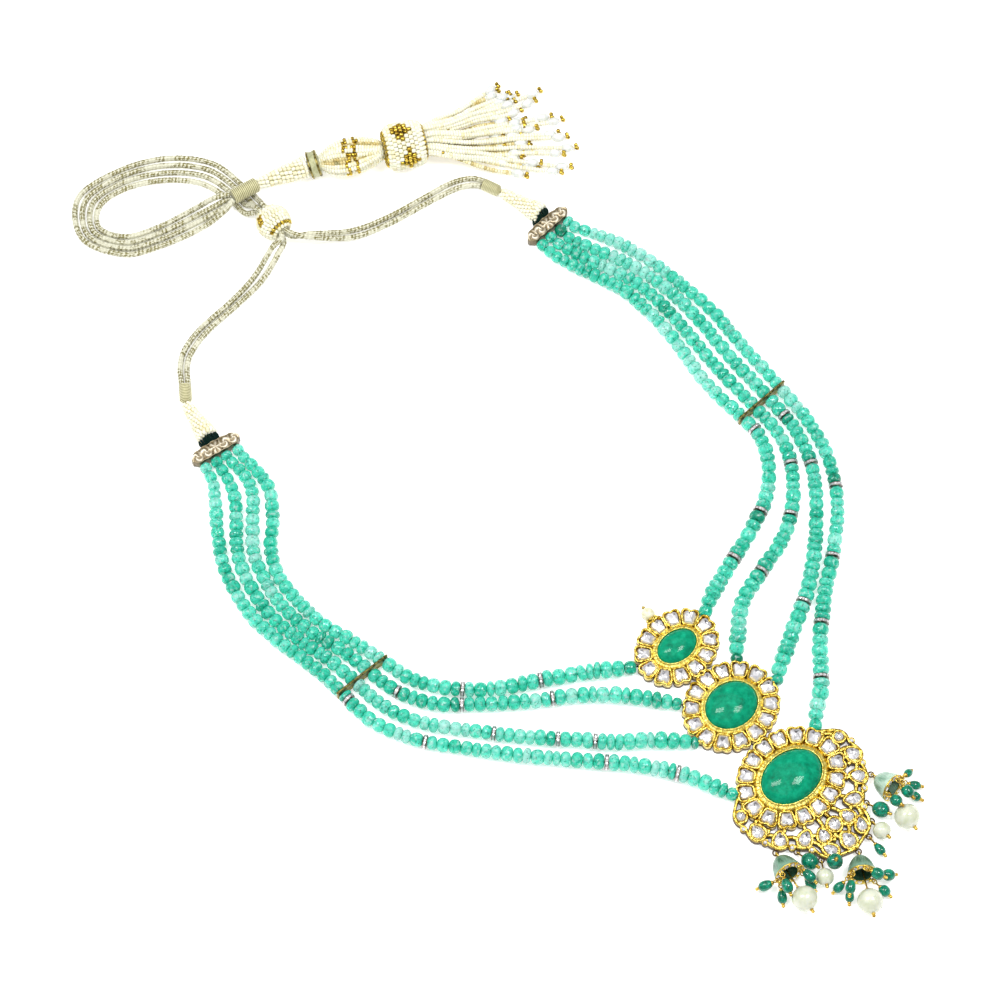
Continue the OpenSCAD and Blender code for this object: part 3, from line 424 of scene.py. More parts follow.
def pearlFinish(name, tint, shade, size=2.5):
    f = Finish(name)
    cloud = f.noise(size)
    return f.shine(Base_Color=f.ramp(cloud, (0.3, shade), (0.6, tint)), Roughness=0.2 + 0.1 * cloud,
                   Subsurface_Weight=0.35, Subsurface_Radius=(1, 0.85, 0.6), Subsurface_Scale=0.8 * mm,
                   Coat_Weight=0.7, Coat_Roughness=0.08, Sheen_Weight=0.2, Sheen_Roughness=0.3,
                   Sheen_Tint=(0.8, 0.95, 0.6))


def seedFinish():
    # tiny ivory beads; a low tone is the cotton between them, and on strings that lie under others it is
    # painted shade, partly golden like the thread
    f = Finish("seed pearl")
    base = f.ramp(f.tone() + (f.noise(1.3) - 0.5) * 0.3, (0, (0.33, 0.3, 0.13)), (0.16, (0.6, 0.47, 0.17)),
                  (0.45, (0.79, 0.73, 0.45)), (0.8, (0.87, 0.85, 0.69)))
    return f.shine(Base_Color=base, Roughness=0.3 + 0.1 * f.noise(0.4), Subsurface_Weight=0.2,
                   Subsurface_Radius=(1, 0.8, 0.5), Subsurface_Scale=0.4 * mm, Coat_Weight=0.35,
                   Coat_Roughness=0.15)


def cordFinish():
    # braid of ivory and gold thread: two sets of slanted strands, told apart by the map
    f = Finish("cord braid")
    u, v = f.mapping()
    left = ((u * 5 + v * 85) * (2 * math.pi)).maths("SINE")
    right = ((u * 4 - v * 85) * (2 * math.pi)).maths("SINE")
    fleck = f.noise(0.75, 3, 0.7)
    gilt = f.mask(left * right * 0.13 + fleck, 0.43, 0.54) * f.mask(f.noise(4.2), 0.42, 0.5, 0.25)
    base = f.blend(gilt, (0.7, 0.69, 0.54), (0.18, 0.155, 0.03))
    base = f.blend(f.mask(fleck, 0.62, 0.7), base, (0.88, 0.87, 0.78))
    strand = f.noise(0.25)
    return f.shine(Base_Color=base, Metallic=0.35 * gilt.maths("MINIMUM", 1), Roughness=0.36 + 0.2 * strand,
                   Sheen_Weight=0.25, Normal=f.bump(left * right + strand, 0.06))


def threadFinish(name, tint, deep, metal=0.0, sheen=0.3, gloss=0.5):
    # wound thread: fine fibres, with a lighter crown and a darker valley on each turn, painted highlight and
    # painted shade; the crown is where tone is high
    f = Finish(name)
    fibre, patch = f.noise(0.22, 3), f.noise(0.9, 3)
    crown = f.mask(f.tone() + (patch - 0.5) * 0.7, 0.3, 0.8)
    return f.shine(Base_Color=f.blend(crown, deep, tint), Metallic=metal, Roughness=0.42 + 0.25 * fibre,
                   Sheen_Weight=sheen, Specular_IOR_Level=gloss, Normal=f.bump(fibre, 0.05))


def carvedFinish():
    # pale carved stone, darker in its cuts and inside the bell, a painted shade
    f = Finish("carved stone")
    cloud, grain = f.noise(2.2, 4, 0.65), f.noise(0.4, 3)
    base = f.ramp(f.tone() + (cloud - 0.5) * 0.6, (0, (0.02, 0.1, 0.05)), (0.4, (0.2, 0.36, 0.26)),
                  (0.8, (0.53, 0.7, 0.58)))
    return f.shine(Base_Color=base, Roughness=0.3 + 0.2 * grain, IOR=1.55, Subsurface_Weight=0.2,
                   Subsurface_Radius=(0.5, 1, 0.7), Subsurface_Scale=1 * mm, Coat_Weight=0.25,
                   Normal=f.bump(grain + cloud, 0.08))


def barFinish():
    # worn champagne gilding: tone is the height of the relief, brown in its grooves
    f = Finish("champagne")
    lump, fine = f.noise(1.3, 3), f.noise(0.3)
    base = f.ramp(f.tone() + (lump - 0.5) * 0.35, (0.1, (0.035, 0.024, 0.011)), (0.38, (0.2, 0.15, 0.075)),
                  (0.7, (0.56, 0.49, 0.36)), (0.98, (0.86, 0.8, 0.66)))
    return f.shine(Base_Color=base, Metallic=0.75, Roughness=0.3 + 0.15 * fine,
                   Normal=f.bump(lump + fine, 0.06))


def floorFinish():
    f = Finish("floor")
    return f.shine(Base_Color=f.blend(f.noise(60), studio["floorTone"], studio["floorPatch"]), Roughness=0.8,
                   Emission_Color=(1, 1, 1), Emission_Strength=studio["floorGlow"])


gold = goldFinish("gold", (0.9, 0.7, 0.16), (0.62, 0.42, 0.055))
# collet and lattice gold carry painted shade below the given heights
collets = goldFinish("aged gold", (0.86, 0.66, 0.16), (0.36, 0.23, 0.02), 0.17, 0.11, (1.3, 0.7))
latticeGold = goldFinish("lattice gold", (0.82, 0.62, 0.14), (0.28, 0.17, 0.015), 0.17, 0.12, (2.4, 0.6))
foil = goldFinish("gold foil", (0.98, 0.83, 0.24), (0.82, 0.61, 0.1), 0.26, 0.13)
darkGold = goldFinish("dark gold", (0.36, 0.3, 0.1), (0.09, 0.07, 0.02), 0.33)
pinGold = goldFinish("pin gold", (0.82, 0.57, 0.12), (0.4, 0.24, 0.035), 0.25)
seedGold = goldFinish("seed gold", (0.76, 0.56, 0.09), (0.2, 0.12, 0.01), 0.2)
silver = goldFinish("oxidised silver", (0.36, 0.32, 0.29), (0.06, 0.05, 0.045), 0.33)
beadGreen = beadFinish()
emerald = stoneFinish("emerald", (0.008, 0.43, 0.24), (0.001, 0.285, 0.15), (0.001, 0.16, 0.085))
dropGreen = stoneFinish("drop green", (0.006, 0.46, 0.28), (0.001, 0.22, 0.125), (0, 0.06, 0.035),
                        size=1.6, clear=0.3, rough=0.03, index=1.52)
polki = polkiFinish()
creamPearl = pearlFinish("cream pearl", (0.8, 0.79, 0.6), (0.66, 0.62, 0.38), 1.2)
pearl = pearlFinish("pearl", (0.68, 0.7, 0.58), (0.56, 0.6, 0.42))
ricePearl = pearlFinish("rice pearl", (0.79, 0.81, 0.79), (0.64, 0.66, 0.61), 1.5)
seedPearl = seedFinish()
cordBraid = cordFinish()
zari = threadFinish("gilt thread", (0.66, 0.63, 0.38), (0.17, 0.15, 0.035), 0.25)
satinBand = threadFinish("sage satin", (0.58, 0.58, 0.36), (0.3, 0.31, 0.13), 0.2)
greenThread = threadFinish("green thread", (0.001, 0.05, 0.036), (0, 0.014, 0.01), 0, 0, 0.15)
carvedStone = carvedFinish()
champagne = barFinish()

makeCamera()
makeLights()
floor = bpy.data.meshes.new("floor")
edge = studio["floorSize"] * mm / 2
corners = [(-edge, -edge, 0), (edge, -edge, 0), (edge, edge, 0), (-edge, edge, 0)]
floor.from_pydata(corners, [], [(0, 1, 2, 3)])
floor.materials.append(floorFinish())
addObject("floor", floor)
print("camera, lights and floor")

# Cords: the route of each, from the wrap behind an end bar, through the slider, round the loop
# and back under the wrap of the tassel
cords = {"width": 2.2, "sides": 20, "step": 0.4, "relief": 0.07, "strands": 4, "pitch": 3.6, "routes": {
    "cord_left_1": [
        (-65.7, 124.5, 2.2), (-61.2, 131, 1.2), (-56, 134.5, 1.15), (-47, 137.2, 1.15),
        (-33, 138.6, 1.15), (-20.5, 140.3, 1.6), (-10.5, 143.6, 4.4), (-5.15, 147.2, 5.3),
        (-5.15, 159.8, 5.3), (-8.2, 165.4, 1.9), (-8.6, 172.5, 1.15), (-12.3, 185, 1.15),
        (-21.5, 194.6, 1.15), (-34, 201, 1.15), (-45.5, 201.6, 1.15), (-51.6, 194.5, 1.15),
        (-46.5, 185.6, 1.15), (-35.5, 181.2, 1.15), (-22.5, 178.6, 1.8), (-14.2, 175.4, 5.9),
        (-8.95, 172.8, 6.55)],
    "cord_left_2": [
        (-67.6, 125.8, 2.2), (-63, 132.6, 1.2), (-57.2, 136.9, 1.15), (-47.6, 139.6, 1.15),
        (-33.4, 141, 1.15), (-21.8, 142.9, 2.4), (-11.2, 145.8, 7), (-5.15, 147.6, 7.6),
        (-5.15, 159.8, 7.6), (-5.35, 164, 5.6), (-5.9, 168, 1.8), (-6.2, 172.6, 1.15),
        (-9.5, 186.3, 1.15), (-19.7, 197, 1.15), (-33.6, 203.6, 1.15), (-47, 204, 1.15),
        (-54, 194.6, 1.15), (-48, 183.7, 1.15), (-36, 178.8, 1.15), (-22.6, 175.8, 1.8),
        (-14, 173.4, 3.9), (-9, 172.7, 4.25)],
    "cord_right_1": [
        (65.55, 120.35, 2.2), (62.8, 124.6, 1.4), (56, 127.8, 1.15), (43.5, 129.6, 1.15),
        (30, 131.6, 1.15), (17, 135.4, 1.4), (4, 142.4, 4.6), (-2.85, 147.2, 5.3), (-2.85, 159.8, 5.3),
        (-3.7, 165.4, 1.9), (-3.85, 172.7, 1.15), (-6.9, 187.7, 1.15), (-17.9, 199.4, 1.15),
        (-33.2, 206.1, 1.15), (-48.6, 206.4, 1.15), (-56.4, 194.8, 1.15), (-49.5, 181.9, 1.15),
        (-36.6, 176.4, 1.15), (-23, 173.3, 1.8), (-14.5, 171, 3.9), (-9.1, 170.4, 4.25)],
    "cord_right_2": [
        (63.3, 119.6, 2.2), (61, 122.4, 1.4), (55, 125.2, 1.15), (43, 127.2, 1.15), (29.2, 129.2, 1.15),
        (15.5, 132.9, 1.8), (3, 140.2, 6.4), (-2.85, 147.6, 7.6), (-2.85, 159.8, 7.6), (-2.3, 164, 5.6),
        (-1.3, 168, 1.8), (-1.5, 172.8, 1.15), (-4.3, 189, 1.15), (-16.1, 201.7, 1.15),
        (-32.8, 208.6, 1.15), (-50.2, 208.8, 1.15), (-58.8, 195, 1.15), (-51, 180.1, 1.15),
        (-37.2, 174, 1.15), (-23.4, 170.7, 1.8), (-14.8, 168.9, 5.8), (-9.5, 170.2, 6.5)]}}


def braidTube(line, run):
    # a tube whose radius rises where the left-hand and right-hand strands of a braid pass over
    s = np.append(np.arange(0, run[-1], cords["step"]), run[-1])
    line = pointAt(line, run, s)
    frames, angle = framesFor(np.gradient(line, axis=0)), fullTurn(cords["sides"])
    lean, turn = s[:, None] / cords["pitch"] * 2 * np.pi, angle * cords["strands"]
    over = np.sin(turn + lean) * np.sin(turn - lean)
    radius = cords["width"] / 2 - cords["relief"] + cords["relief"] * over
    way = spoke(angle, frames[:, None, :, 0], frames[:, None, :, 1])
    return gridPart(line[:, None] + radius[..., None] * way)


for name, route in cords["routes"].items():
    line = smoothCurve(route, 12)
    run = runOf(line)
    cord = putPiece(name, [braidTube(line, run)], cordBraid, [name])
    print(name, round(run[-1], 1), "mm")
    [x * mm for x in route[0]]
    cords["width"] * mm
    (line * mm).tolist()

# Strings of beads: side, route of the thread, places of the spacers along it
strings = {
    "left_1": ([
        (-12.5, -57.2), (-15.5, -55.6), (-20, -53), (-30, -46.3), (-43, -39), (-58, -30.5), (-70, -19.5),
        (-76.5, -9), (-79, 0.6), (-82, 11.5), (-85.8, 23), (-87.4, 34), (-87, 46), (-82.5, 57),
        (-74.5, 66), (-69, 75), (-67.8, 84), (-68.1, 91.7), (-67.3, 97.6)],
        [35.5, 62]),
    "left_2": ([
        (-10.4, -78.2), (-12.8, -75.4), (-16.8, -70.7), (-27, -59.3), (-39, -50), (-52, -41.5),
        (-63.5, -33), (-76, -22), (-82.5, -11), (-85, 0.6), (-87.3, 12), (-91, 24), (-92.6, 36),
        (-91.6, 48), (-87.4, 60.5), (-80, 70), (-74, 78), (-72.2, 85.5), (-72.4, 92.3), (-71.6, 98.2)],
        [46.5, 77, 99.5]),
    "left_3": ([
        (-14.2, -91.2), (-17.4, -89.2), (-22, -84.9), (-29, -78.7), (-38, -72.2), (-48, -62.5),
        (-59.5, -51.5), (-73, -37), (-83, -25), (-89, -13), (-91, 0.6), (-92.6, 12), (-96, 25),
        (-97.7, 37), (-96.8, 49), (-93.3, 61), (-86.2, 71.5), (-80.6, 79), (-77.8, 86.2), (-76.8, 92.9),
        (-75.9, 98.8)],
        [37.5, 50, 71.5]),
    "left_4": ([
        (-17.4, -114.4), (-19.5, -111.6), (-22.3, -106.5), (-28.7, -94.5), (-39.5, -81), (-52, -68.5),
        (-66, -54.5), (-79, -40), (-89, -27.5), (-95.5, -14), (-97, 0.6), (-98, 12), (-101, 25.5),
        (-102.8, 38), (-102, 50), (-98.9, 62), (-92.7, 73.5), (-87, 82), (-82.6, 88.5), (-81.1, 93.5),
        (-80.3, 99.4)],
        [24, 48, 109, 139.5]),
    "right_1": ([
        (12, -58.4), (14.6, -56.9), (20, -53.5), (31, -49.3), (46, -44), (60, -37.5), (69.5, -28),
        (74, -18), (74, -9.8), (73.2, 3), (73.8, 15), (75.6, 27), (76.2, 40), (75.2, 53), (71.3, 65),
        (67.2, 75), (65.2, 82), (65, 86.3), (64.6, 91.3)],
        [27, 47, 79.5]),
    "right_2": ([
        (9.9, -78.3), (12.3, -75.9), (16.8, -71.4), (28, -61.5), (42.5, -56.5), (55, -52.3), (65.5, -45),
        (74.5, -34.5), (79.4, -23), (80, -9.5), (80, 3), (80.3, 15), (81.2, 28), (81.6, 41), (80.4, 53),
        (76.5, 65), (72.1, 75), (69.8, 82), (69.3, 86.6), (68.9, 91.6)],
        [38, 62, 81.5]),
    "right_3": ([
        (14.3, -92.2), (17, -90.6), (22, -87.3), (33, -80.8), (49, -71.5), (61, -61.5), (72, -50),
        (80.5, -38), (85.2, -24), (86, -9.2), (86.2, 3), (86.6, 15), (87.6, 28), (87.4, 41), (85.6, 53),
        (81.8, 65), (77.2, 75), (74.3, 82), (73.7, 86.8), (73.3, 91.8)],
        [34.5, 87, 107.5]),
    "right_4": ([
        (14.2, -114), (16.2, -111.4), (20, -107.5), (28, -101), (38.5, -89), (51, -77.5), (64, -67.5),
        (76, -56.5), (84.5, -44.5), (90, -29.5), (92, -9), (92.3, 6), (93, 18), (93.6, 30), (92.3, 43),
        (90, 57), (86.4, 69), (82.6, 77.5), (79.2, 83.5), (78, 87.1), (77.6, 92.1)],
        [22, 42, 67, 93.5])}
beads = {"largest": 6, "smallest": 4.9, "taper": 0.012, "first": 4.3, "firstGrowth": 0.22, "last": 4.2,
         "lastGrowth": 0.05, "lead": 3.7, "tail": 9, "begin": 2.9, "pitch": 3.45, "shares": (0.72, 1.3),
         "sizes": (0.99, 1.08), "lean": 0.07, "aside": 0.14, "lift": 0.02, "endGap": 0.15, "barHalf": 0.65,
         "bore": 0.15, "sides": 16, "rows": 8, "spacer": 1.5, "threadWidth": 0.55, "threadStep": 1.5}
# How deep the green is: a slow drift along the string, a spread from bead to bead, and more of it at
# both ends and beside a spacer
depths = {"drift": (0.1, 0.5), "stops": 14, "spread": 0.1, "first": 0.45, "fade": 5.5, "beside": 0.14,
          "besideReach": 4.5, "last": 0.2, "lastReach": 5, "limits": (0.02, 0.95)}
spacerStones = {"count": 13, "size": (0.56, 0.5, 0.26), "sunk": 0.1, "tones": (0.7, 1)}
# Bars that the strings run through: middle, turn in degrees and length
endBars = {"left": (-73.8, 98.5, -7.7, 17.6), "right": (71.1, 91.7, 3.8, 17.6)}
strandBars = {"left": (-88, 0.6, 0, 21.6), "right": (83, -9.4, 2.4, 21.6)}
endBarWidth = 4.6


def beadRadius(s, total):
    # the string tapers from its largest beads to the end bar, and starts and ends with small ones
    body = np.maximum(beads["smallest"], beads["largest"] - beads["taper"] * s)
    first = beads["first"] + beads["firstGrowth"] * np.maximum(0, s - beads["lead"])
    last = beads["last"] + beads["lastGrowth"] * np.maximum(0, total - s - beads["tail"])
    return np.minimum(np.minimum(body, first), last) / 2


def raised(line, run, s):
    # a point of the string above the floor by the bead's radius
    return np.column_stack([pointAt(line, run, s), beadRadius(s, run[-1]) + beads["lift"]])


def levelWay(line, run, s):
    return alongAt(line, run, s) @ np.eye(2, 3)


def barCrossing(line, run, bar):
    # how far along its thread a string meets the bar
    off = (line - np.array(bar[:2])) @ heading(bar[2])[1][:2]
    i = np.flatnonzero((off[:-1] < 0) & (off[1:] >= 0))[0]
    return run[i] + (run[i + 1] - run[i]) * off[i] / (off[i] - off[i + 1])


def beadForm():
    # rounded rondelle: radius rises from the bore as cos(latitude)^0.6, height as its sine
    lat = np.linspace(-0.47, 0.47, beads["rows"]) * np.pi
    bore = beads["bore"]
    r = bore + (1 - bore) * np.cos(lat) ** 0.6
    z = np.sin(lat) / np.sin(lat[-1])
    return turnedPart([(bore, -0.97), *np.stack([r, z], -1), (bore, 0.97)], beads["sides"], ring=True)


def spacerForm():
    # unit disc with a hole, and a raised edge at both faces
    e = 0.44
    return turnedPart([(0.16, -e), (0.9, -e), (1, -e + 0.08), (0.97, -0.2), (0.97, 0.2), (1, e - 0.08),
                       (0.9, e), (0.16, e)], 22, ring=True)


def gemForm(cols=8):
    # small cut stone: girdle, crown and table
    return flatPart(turnedPart([(0.8, -0.5), (1, 0), (0.55, 0.5)], cols))


def fillStretch(start, stop):
    n = max(1, round((stop - start) / beads["pitch"]))
    share = rng.uniform(*beads["shares"], n)
    width = share * (stop - start) / share.sum()
    return start + np.cumsum(width) - width / 2, width


bead, spacer, gem = beadForm(), spacerForm(), gemForm()
spacerParts, spacerGems, threadParts = [], [], []
for name, (route, spacerPlaces) in strings.items():
    side = name.split("_")[0]
    line = smoothCurve(route)
    run = runOf(line)
    crossing = barCrossing(line, run, strandBars[side])
    last = run[-1] - endBarWidth / 2 - beads["endGap"]
    stops = sorted([(s, beads["spacer"] / 2) for s in spacerPlaces] + [(crossing, beads["barHalf"])])
    starts = [beads["begin"]] + [s + h for s, h in stops]
    closes = [s - h for s, h in stops] + [last]
    places, widths = (np.concatenate(q) for q in zip(*[fillStretch(a, b) for a, b in zip(starts, closes)]))
    n = len(places)
    radius = beadRadius(places, run[-1]) * rng.uniform(*beads["sizes"], n)
    rng.random(n)  # sets nothing, and keeps the later draws as they are
    frames = framesFor(levelWay(line, run, places) + rng.normal(0, beads["lean"], (n, 3)))
    drift = rng.uniform(*depths["drift"], depths["stops"])
    depth = np.interp(places, np.linspace(0, run[-1], depths["stops"]), drift)
    depth += rng.normal(0, depths["spread"], n)
    depth += depths["first"] * np.exp(-(places - beads["lead"]) / depths["fade"])
    near = np.min(np.abs(places[:, None] - np.array(spacerPlaces)), 1)
    depth += np.where(near < depths["besideReach"], depths["beside"], 0)
    depth += np.where(last - places < depths["lastReach"], depths["last"] * rng.random(n), 0)
    rng.random((2, n))  # sets nothing either
    at = raised(line, run, places) + frames[..., 0] * rng.uniform(-beads["aside"], beads["aside"], (n, 1))
    at[:, 2] = np.maximum(at[:, 2], radius + beads["lift"])
    size = np.stack([radius, radius, widths / 2], -1)
    string = copiesOf(bead, at, frames, size, np.clip(depth, *depths["limits"]))
    putPiece("bead_string_" + name, [string], beadGreen, ["beads_" + name, "string_" + name])

    spots = np.array(spacerPlaces, float)
    r = beadRadius(spots, run[-1]) - beads["lift"]
    frames, at = framesFor(levelWay(line, run, spots)), raised(line, run, spots)
    spacerParts.append(copiesOf(spacer, at, frames, np.stack([r, r, np.full(len(r), beads["spacer"])], -1)))
    for k in range(len(spots)):
        out = spoke(fullTurn(spacerStones["count"]), frames[k, :, 0], frames[k, :, 1])
        spacerGems.append(copiesOf(gem, at[k] + out * (r[k] - spacerStones["sunk"]),
                                   framesFor(out, frames[k, :, 2]), spacerStones["size"],
                                   rng.uniform(*spacerStones["tones"], len(out))))
    threadLine = raised(line, run, np.arange(0, run[-1], beads["threadStep"]))
    threadParts.append(sweepPart(threadLine, circle(beads["threadWidth"] / 2, 6)))

putPiece("spacer_discs", spacerParts, silver, ["diamond_spacers"])
putPiece("spacer_gems", spacerGems, polki)
putPiece("bead_threads", threadParts, greenThread, ["threads"])

# Pendants: a body with one collet for each stone round a raised rim
pendants = {
    "1": {"middle": (0, -59.5), "petals": 12, "ring": (12.2, 9.5), "stone": (7.5, 5.3), "top": 6.4,
          "rim": 1.8},
    "2": {"middle": (0, -87.2), "petals": 14, "ring": (14, 12), "stone": (9.5, 7.9), "top": 7.3,
          "rim": 1.65},
    "3": {"middle": (-1.5, -119), "petals": 16, "ring": (16.5, 13.4), "stone": (11.3, 8.5), "top": 7.6,
          "rim": 2.1}}
setting = {"floor": 2.95, "wall": 0.38, "wallTop": 3.8, "stoneLow": 2.9, "stoneTop": 4.25, "base": 0.02,
           "foilSteps": 240, "creases": (19, 31, 47, 58, 73), "creaseDepth": 0.075, "creaseWidth": 0.05}
# Lattice under the third pendant, right side, about its middle: x, y, half length, half width and turn
lattice = {
    "stones": [(21.9, 0.6, 1.6, 1.6, 0), (21.3, -6.9, 2.6, 2.3, 100), (17.4, -13.8, 2.6, 2.1, 130),
               (10.7, -18.8, 2.8, 2.1, 150), (5.3, -21.9, 2.3, 1.9, 105), (6.9, -27, 2.6, 1.8, 65)],
    "middle": [(0, -21.3, 2.2, 2.2, 0), (0, -28.1, 2.8, 2.3, 90)],
    "edge": [(17.6, 6.6), (22.4, 3.2), (24.1, 0.2), (23.5, -3.2), (24, -7.4), (21.4, -11.2), (20.2, -14.6),
             (15.8, -17.9), (13.8, -20.4), (11.2, -22.8), (10.4, -26.4), (8.2, -29.4), (4.4, -30.6),
             (0, -32)],
    "dots": [(24.1, -3.2), (21.7, -11.3), (16.1, -18.3), (11.6, -23)],
    "wires": [(17.5, 5, 21.5, 1.5), (18.5, -3.5, 21.5, -4), (17.5, -8.5, 21, -9.5), (20.5, -9.5, 17.5, -12),
              (13.5, -12, 16.5, -12.5), (15.5, -14.5, 12.5, -17.5), (8, -15, 10, -18), (9, -19.5, 6.5, -21),
              (3, -16, 4.5, -21), (3.4, -21, 1, -21), (0, -15.8, 0, -20), (5.5, -23, 6.5, -26),
              (3.8, -23.5, 1, -27), (6.5, -28.5, 5.5, -30.8), (1, -22, 4, -25.5), (10, -20.5, 8.5, -25.5)],
    "low": 0.4, "high": 3.2, "stoneTop": 3.75}
# Eyelets on the edge: x, y and the point of the edge that each is soldered to
eyelets = [(-22.8, -135, -21.8, -133.4), (-1.5, -152.2, -1.5, -151), (19.8, -135, 18.9, -133.4),
           (-17.2, -139.2, -16.6, -137.6), (-12.9, -146.5, -11.9, -145.5), (-10.9, -149.4, -10.2, -148.4),
           (11.9, -141.4, 11, -140.2), (8.9, -147.2, 8, -146.4), (4.6, -150.6, 4.4, -149.4)]
eyeletHeight = 1.8


def petalPlaces(m):
    # petals stand evenly on the ring's ellipse and face outwards
    a, b = m["ring"]
    f = np.pi / 2 + fullTurn(m["petals"])
    t = f + math.radians(28.6) * (a - b) / (a + b) * np.sin(2 * f)
    return np.array(m["middle"]) + oval(a, b, t), np.arctan2(a * np.sin(t), b * np.cos(t)) - np.pi / 2


def petalHalf(m):
    # half of the room that each petal has on the ring
    return math.pi * math.hypot(*m["ring"]) / math.sqrt(2) / m["petals"] - 0.03


def mixed(a, b, share):
    return a + (b - a) * share


def petalOutline(w, inset):
    # two lobes outside, straight sides that close toward the middle
    a, b, low, top = w * 0.8 - inset, w * 1.12 - inset, -3 + inset, 3.3 - inset
    half = [(0, low), (a - 0.7, low), (a - 0.08, low + 0.35), (mixed(a, b, 0.35), -1.3),
            (mixed(a, b, 0.75), 0.1), (b, 1.5), (b - 0.12, top - 0.75), (b * 0.78, top - 0.12),
            (b * 0.48, top), (b * 0.2, top - 0.22)]
    other = [(-x, y) for x, y in half[:0:-1]]
    return smoothCurve([*half, (0, top - 0.5), *other], 3, closed=True)


def stoneOutline(w, inset):
    # a worn trapezoid with a shallow notch outside, no two alike
    a, b, low, top = w * 0.84 - inset, w * 1.05 - inset, -3 + inset, 3.25 - inset
    corners = np.array([(-a * 0.9, low), (a * 0.9, low), (a, low + 0.5), (b, 0.9), (b - 0.25, top - 0.6),
                        (b * 0.5, top), (0, top - 0.3), (-b * 0.5, top), (-b + 0.25, top - 0.6), (-b, 0.9),
                        (-a, low + 0.5)])
    return corners * (1 - np.abs(rng.normal(0, 0.045, corners.shape)))


def dropOutline(a, b):
    # outline of a lattice stone: round, or a pear that narrows as 0.4 + 0.8 sin(half the angle)
    t = fullTurn(10)
    return oval(a, b * (0.4 + 0.8 * np.sin(t / 2) if a > b else 1), t)


def turnFlat(outline, at, angle):
    c, s = math.cos(angle), math.sin(angle)
    return outline @ np.array([[c, s], [-s, c]]) + np.asarray(at)


def level(outline, z):
    return np.column_stack([outline, np.full(len(outline), z)])


def wallPart(outline, half, low, high, closed=True):
    # a wall with a rounded top along a flat line
    profile = [(-half, low), (half, low), (half, high - 0.32), (half * 0.75, high - 0.1), (0, high),
               (-half * 0.75, high - 0.1), (-half, high - 0.32)]
    return sweepPart(level(outline, 0), profile, closed)


def platePart(outline, low, high):
    return gridPart(np.array([level(outline, low), level(outline, high)]))


def uncutStone(outline, low, high):
    # pillow of uneven facets: girdle, crown, shoulder and a small table pushed off the middle, with painted
    # shade of a crease beside it
    n = len(outline)
    middle = outline.mean(0)
    lean = rng.normal(0, 0.16, 2) + np.array([0.2, 0.24])
    rows = []
    for share, rise, wobble in ((0.97, 0, 0), (1, 0.25, 0.02), (0.8, 0.72, 0.05), (0.42, 0.95, 0.1),
                                (0.1, 1, 0.03)):
        grow = share + rng.normal(0, wobble, (n, 1)) * 0.5
        flat = middle + (outline - middle) * grow + lean * (1 - share)
        rows.append(level(flat, low + (high - low) * (rise + rng.normal(0, wobble, n) * 0.5)))
    # painted shade: the girdle row is darkest, the crown lighter, and the shoulder and table lightest
    tone = np.repeat([0.5, 0.72, 0.88, 0.85, 0.85], n)
    way = np.arctan2(*(rows[3] - rows[4])[:, 1::-1].T)
    # painted shade: the facets beside the table that face one way are painted near black, and no crease is
    # cut there
    crease = np.cos(way - 0.87 + rng.normal(0, 0.25)) > 0.8
    tone[3 * n:4 * n][crease] = 0.1
    tone[4 * n:][crease] = 0.0
    return flatPart(gridPart(np.array(rows), tone=tone))


def foilRim(m):
    # the rim climbs from the stones to a lip on the cabochon, with pinches pressed across it
    a, b = m["stone"]
    t = fullTurn(setting["foilSteps"])
    w = m["rim"]
    shape = np.array([(w, 2.2), (0.02, 2.2), (0.0, 4.1), (0.14, 4.3), (0.34, 4.2), (0.5, 3.95), (0.75, 3.8),
                      (1.05, 3.72), (1.35, 3.6), (w, 3.35)])
    pinch = np.zeros((len(t), len(shape)))
    for count in setting["creases"]:
        phase = rng.uniform(0, 6.28, 2)
        pinch += np.sin(count * t[:, None] + phase[0] + shape[:, 0] * rng.uniform(-1, 1) + phase[1])
    pinch *= np.array([0, 0, 0, 0.2, 0.6, 1, 1, 1, 1, 0.7])
    z = shape[:, 1] + setting["creaseDepth"] * pinch
    out = unit(oval(1 / a, 1 / b, t))[:, None]
    flat = oval(a, b, t)[:, None] + out * (shape[:, :1] + setting["creaseWidth"] * pinch[..., None])
    return gridPart(np.concatenate([flat + np.array(m["middle"]), z[..., None]], -1), ring=True)


def cabochonPart(m):
    # half an ellipsoid on a short skirt, uneven by about a hundredth
    a, b = m["stone"]
    lat = np.radians([0, 0, 6, 12, 18, 25, 32, 39, 46, 53, 60, 66, 72, 78, 83, 87])
    t = fullTurn(72)
    z = 3.2 + (m["top"] - 3.2) * np.sin(lat)
    z[0] = 2.4
    swell = 1 + 0.008 * np.sin(3 * t + 1) + 0.005 * np.sin(5 * t)
    flat = np.cos(lat)[:, None, None] * oval(a * swell, b * swell, t) + np.array(m["middle"])
    return gridPart(np.concatenate([flat, np.repeat(z[:, None, None], len(t), 1)], -1))


def settingParts(m):
    w = petalHalf(m)
    a, b = np.array(m["ring"]) - 0.9
    parts = [platePart(oval(a, b, fullTurn(64)) + np.array(m["middle"]), setting["base"], setting["floor"])]
    stones = []
    for place, angle in zip(*petalPlaces(m)):
        outline = turnFlat(petalOutline(w, setting["wall"]) * rng.uniform(0.99, 1.01, 2), place, angle)
        parts.append(platePart(outline, setting["base"] + 0.01, setting["floor"] - 0.02))
        parts.append(wallPart(outline, setting["wall"], 0.0, setting["wallTop"] + rng.normal(0, 0.04)))
        inner = turnFlat(stoneOutline(w, setting["wall"] * 2 - 0.06), place, angle + rng.normal(0, 0.03))
        stones.append(uncutStone(inner, setting["stoneLow"], setting["stoneTop"] + rng.normal(0, 0.07)))
    return parts, stones


def bothSides(rows):
    # the right side and its mirror image
    return list(rows) + [(-x, y, a, b, 180 - turn) for x, y, a, b, turn in rows]


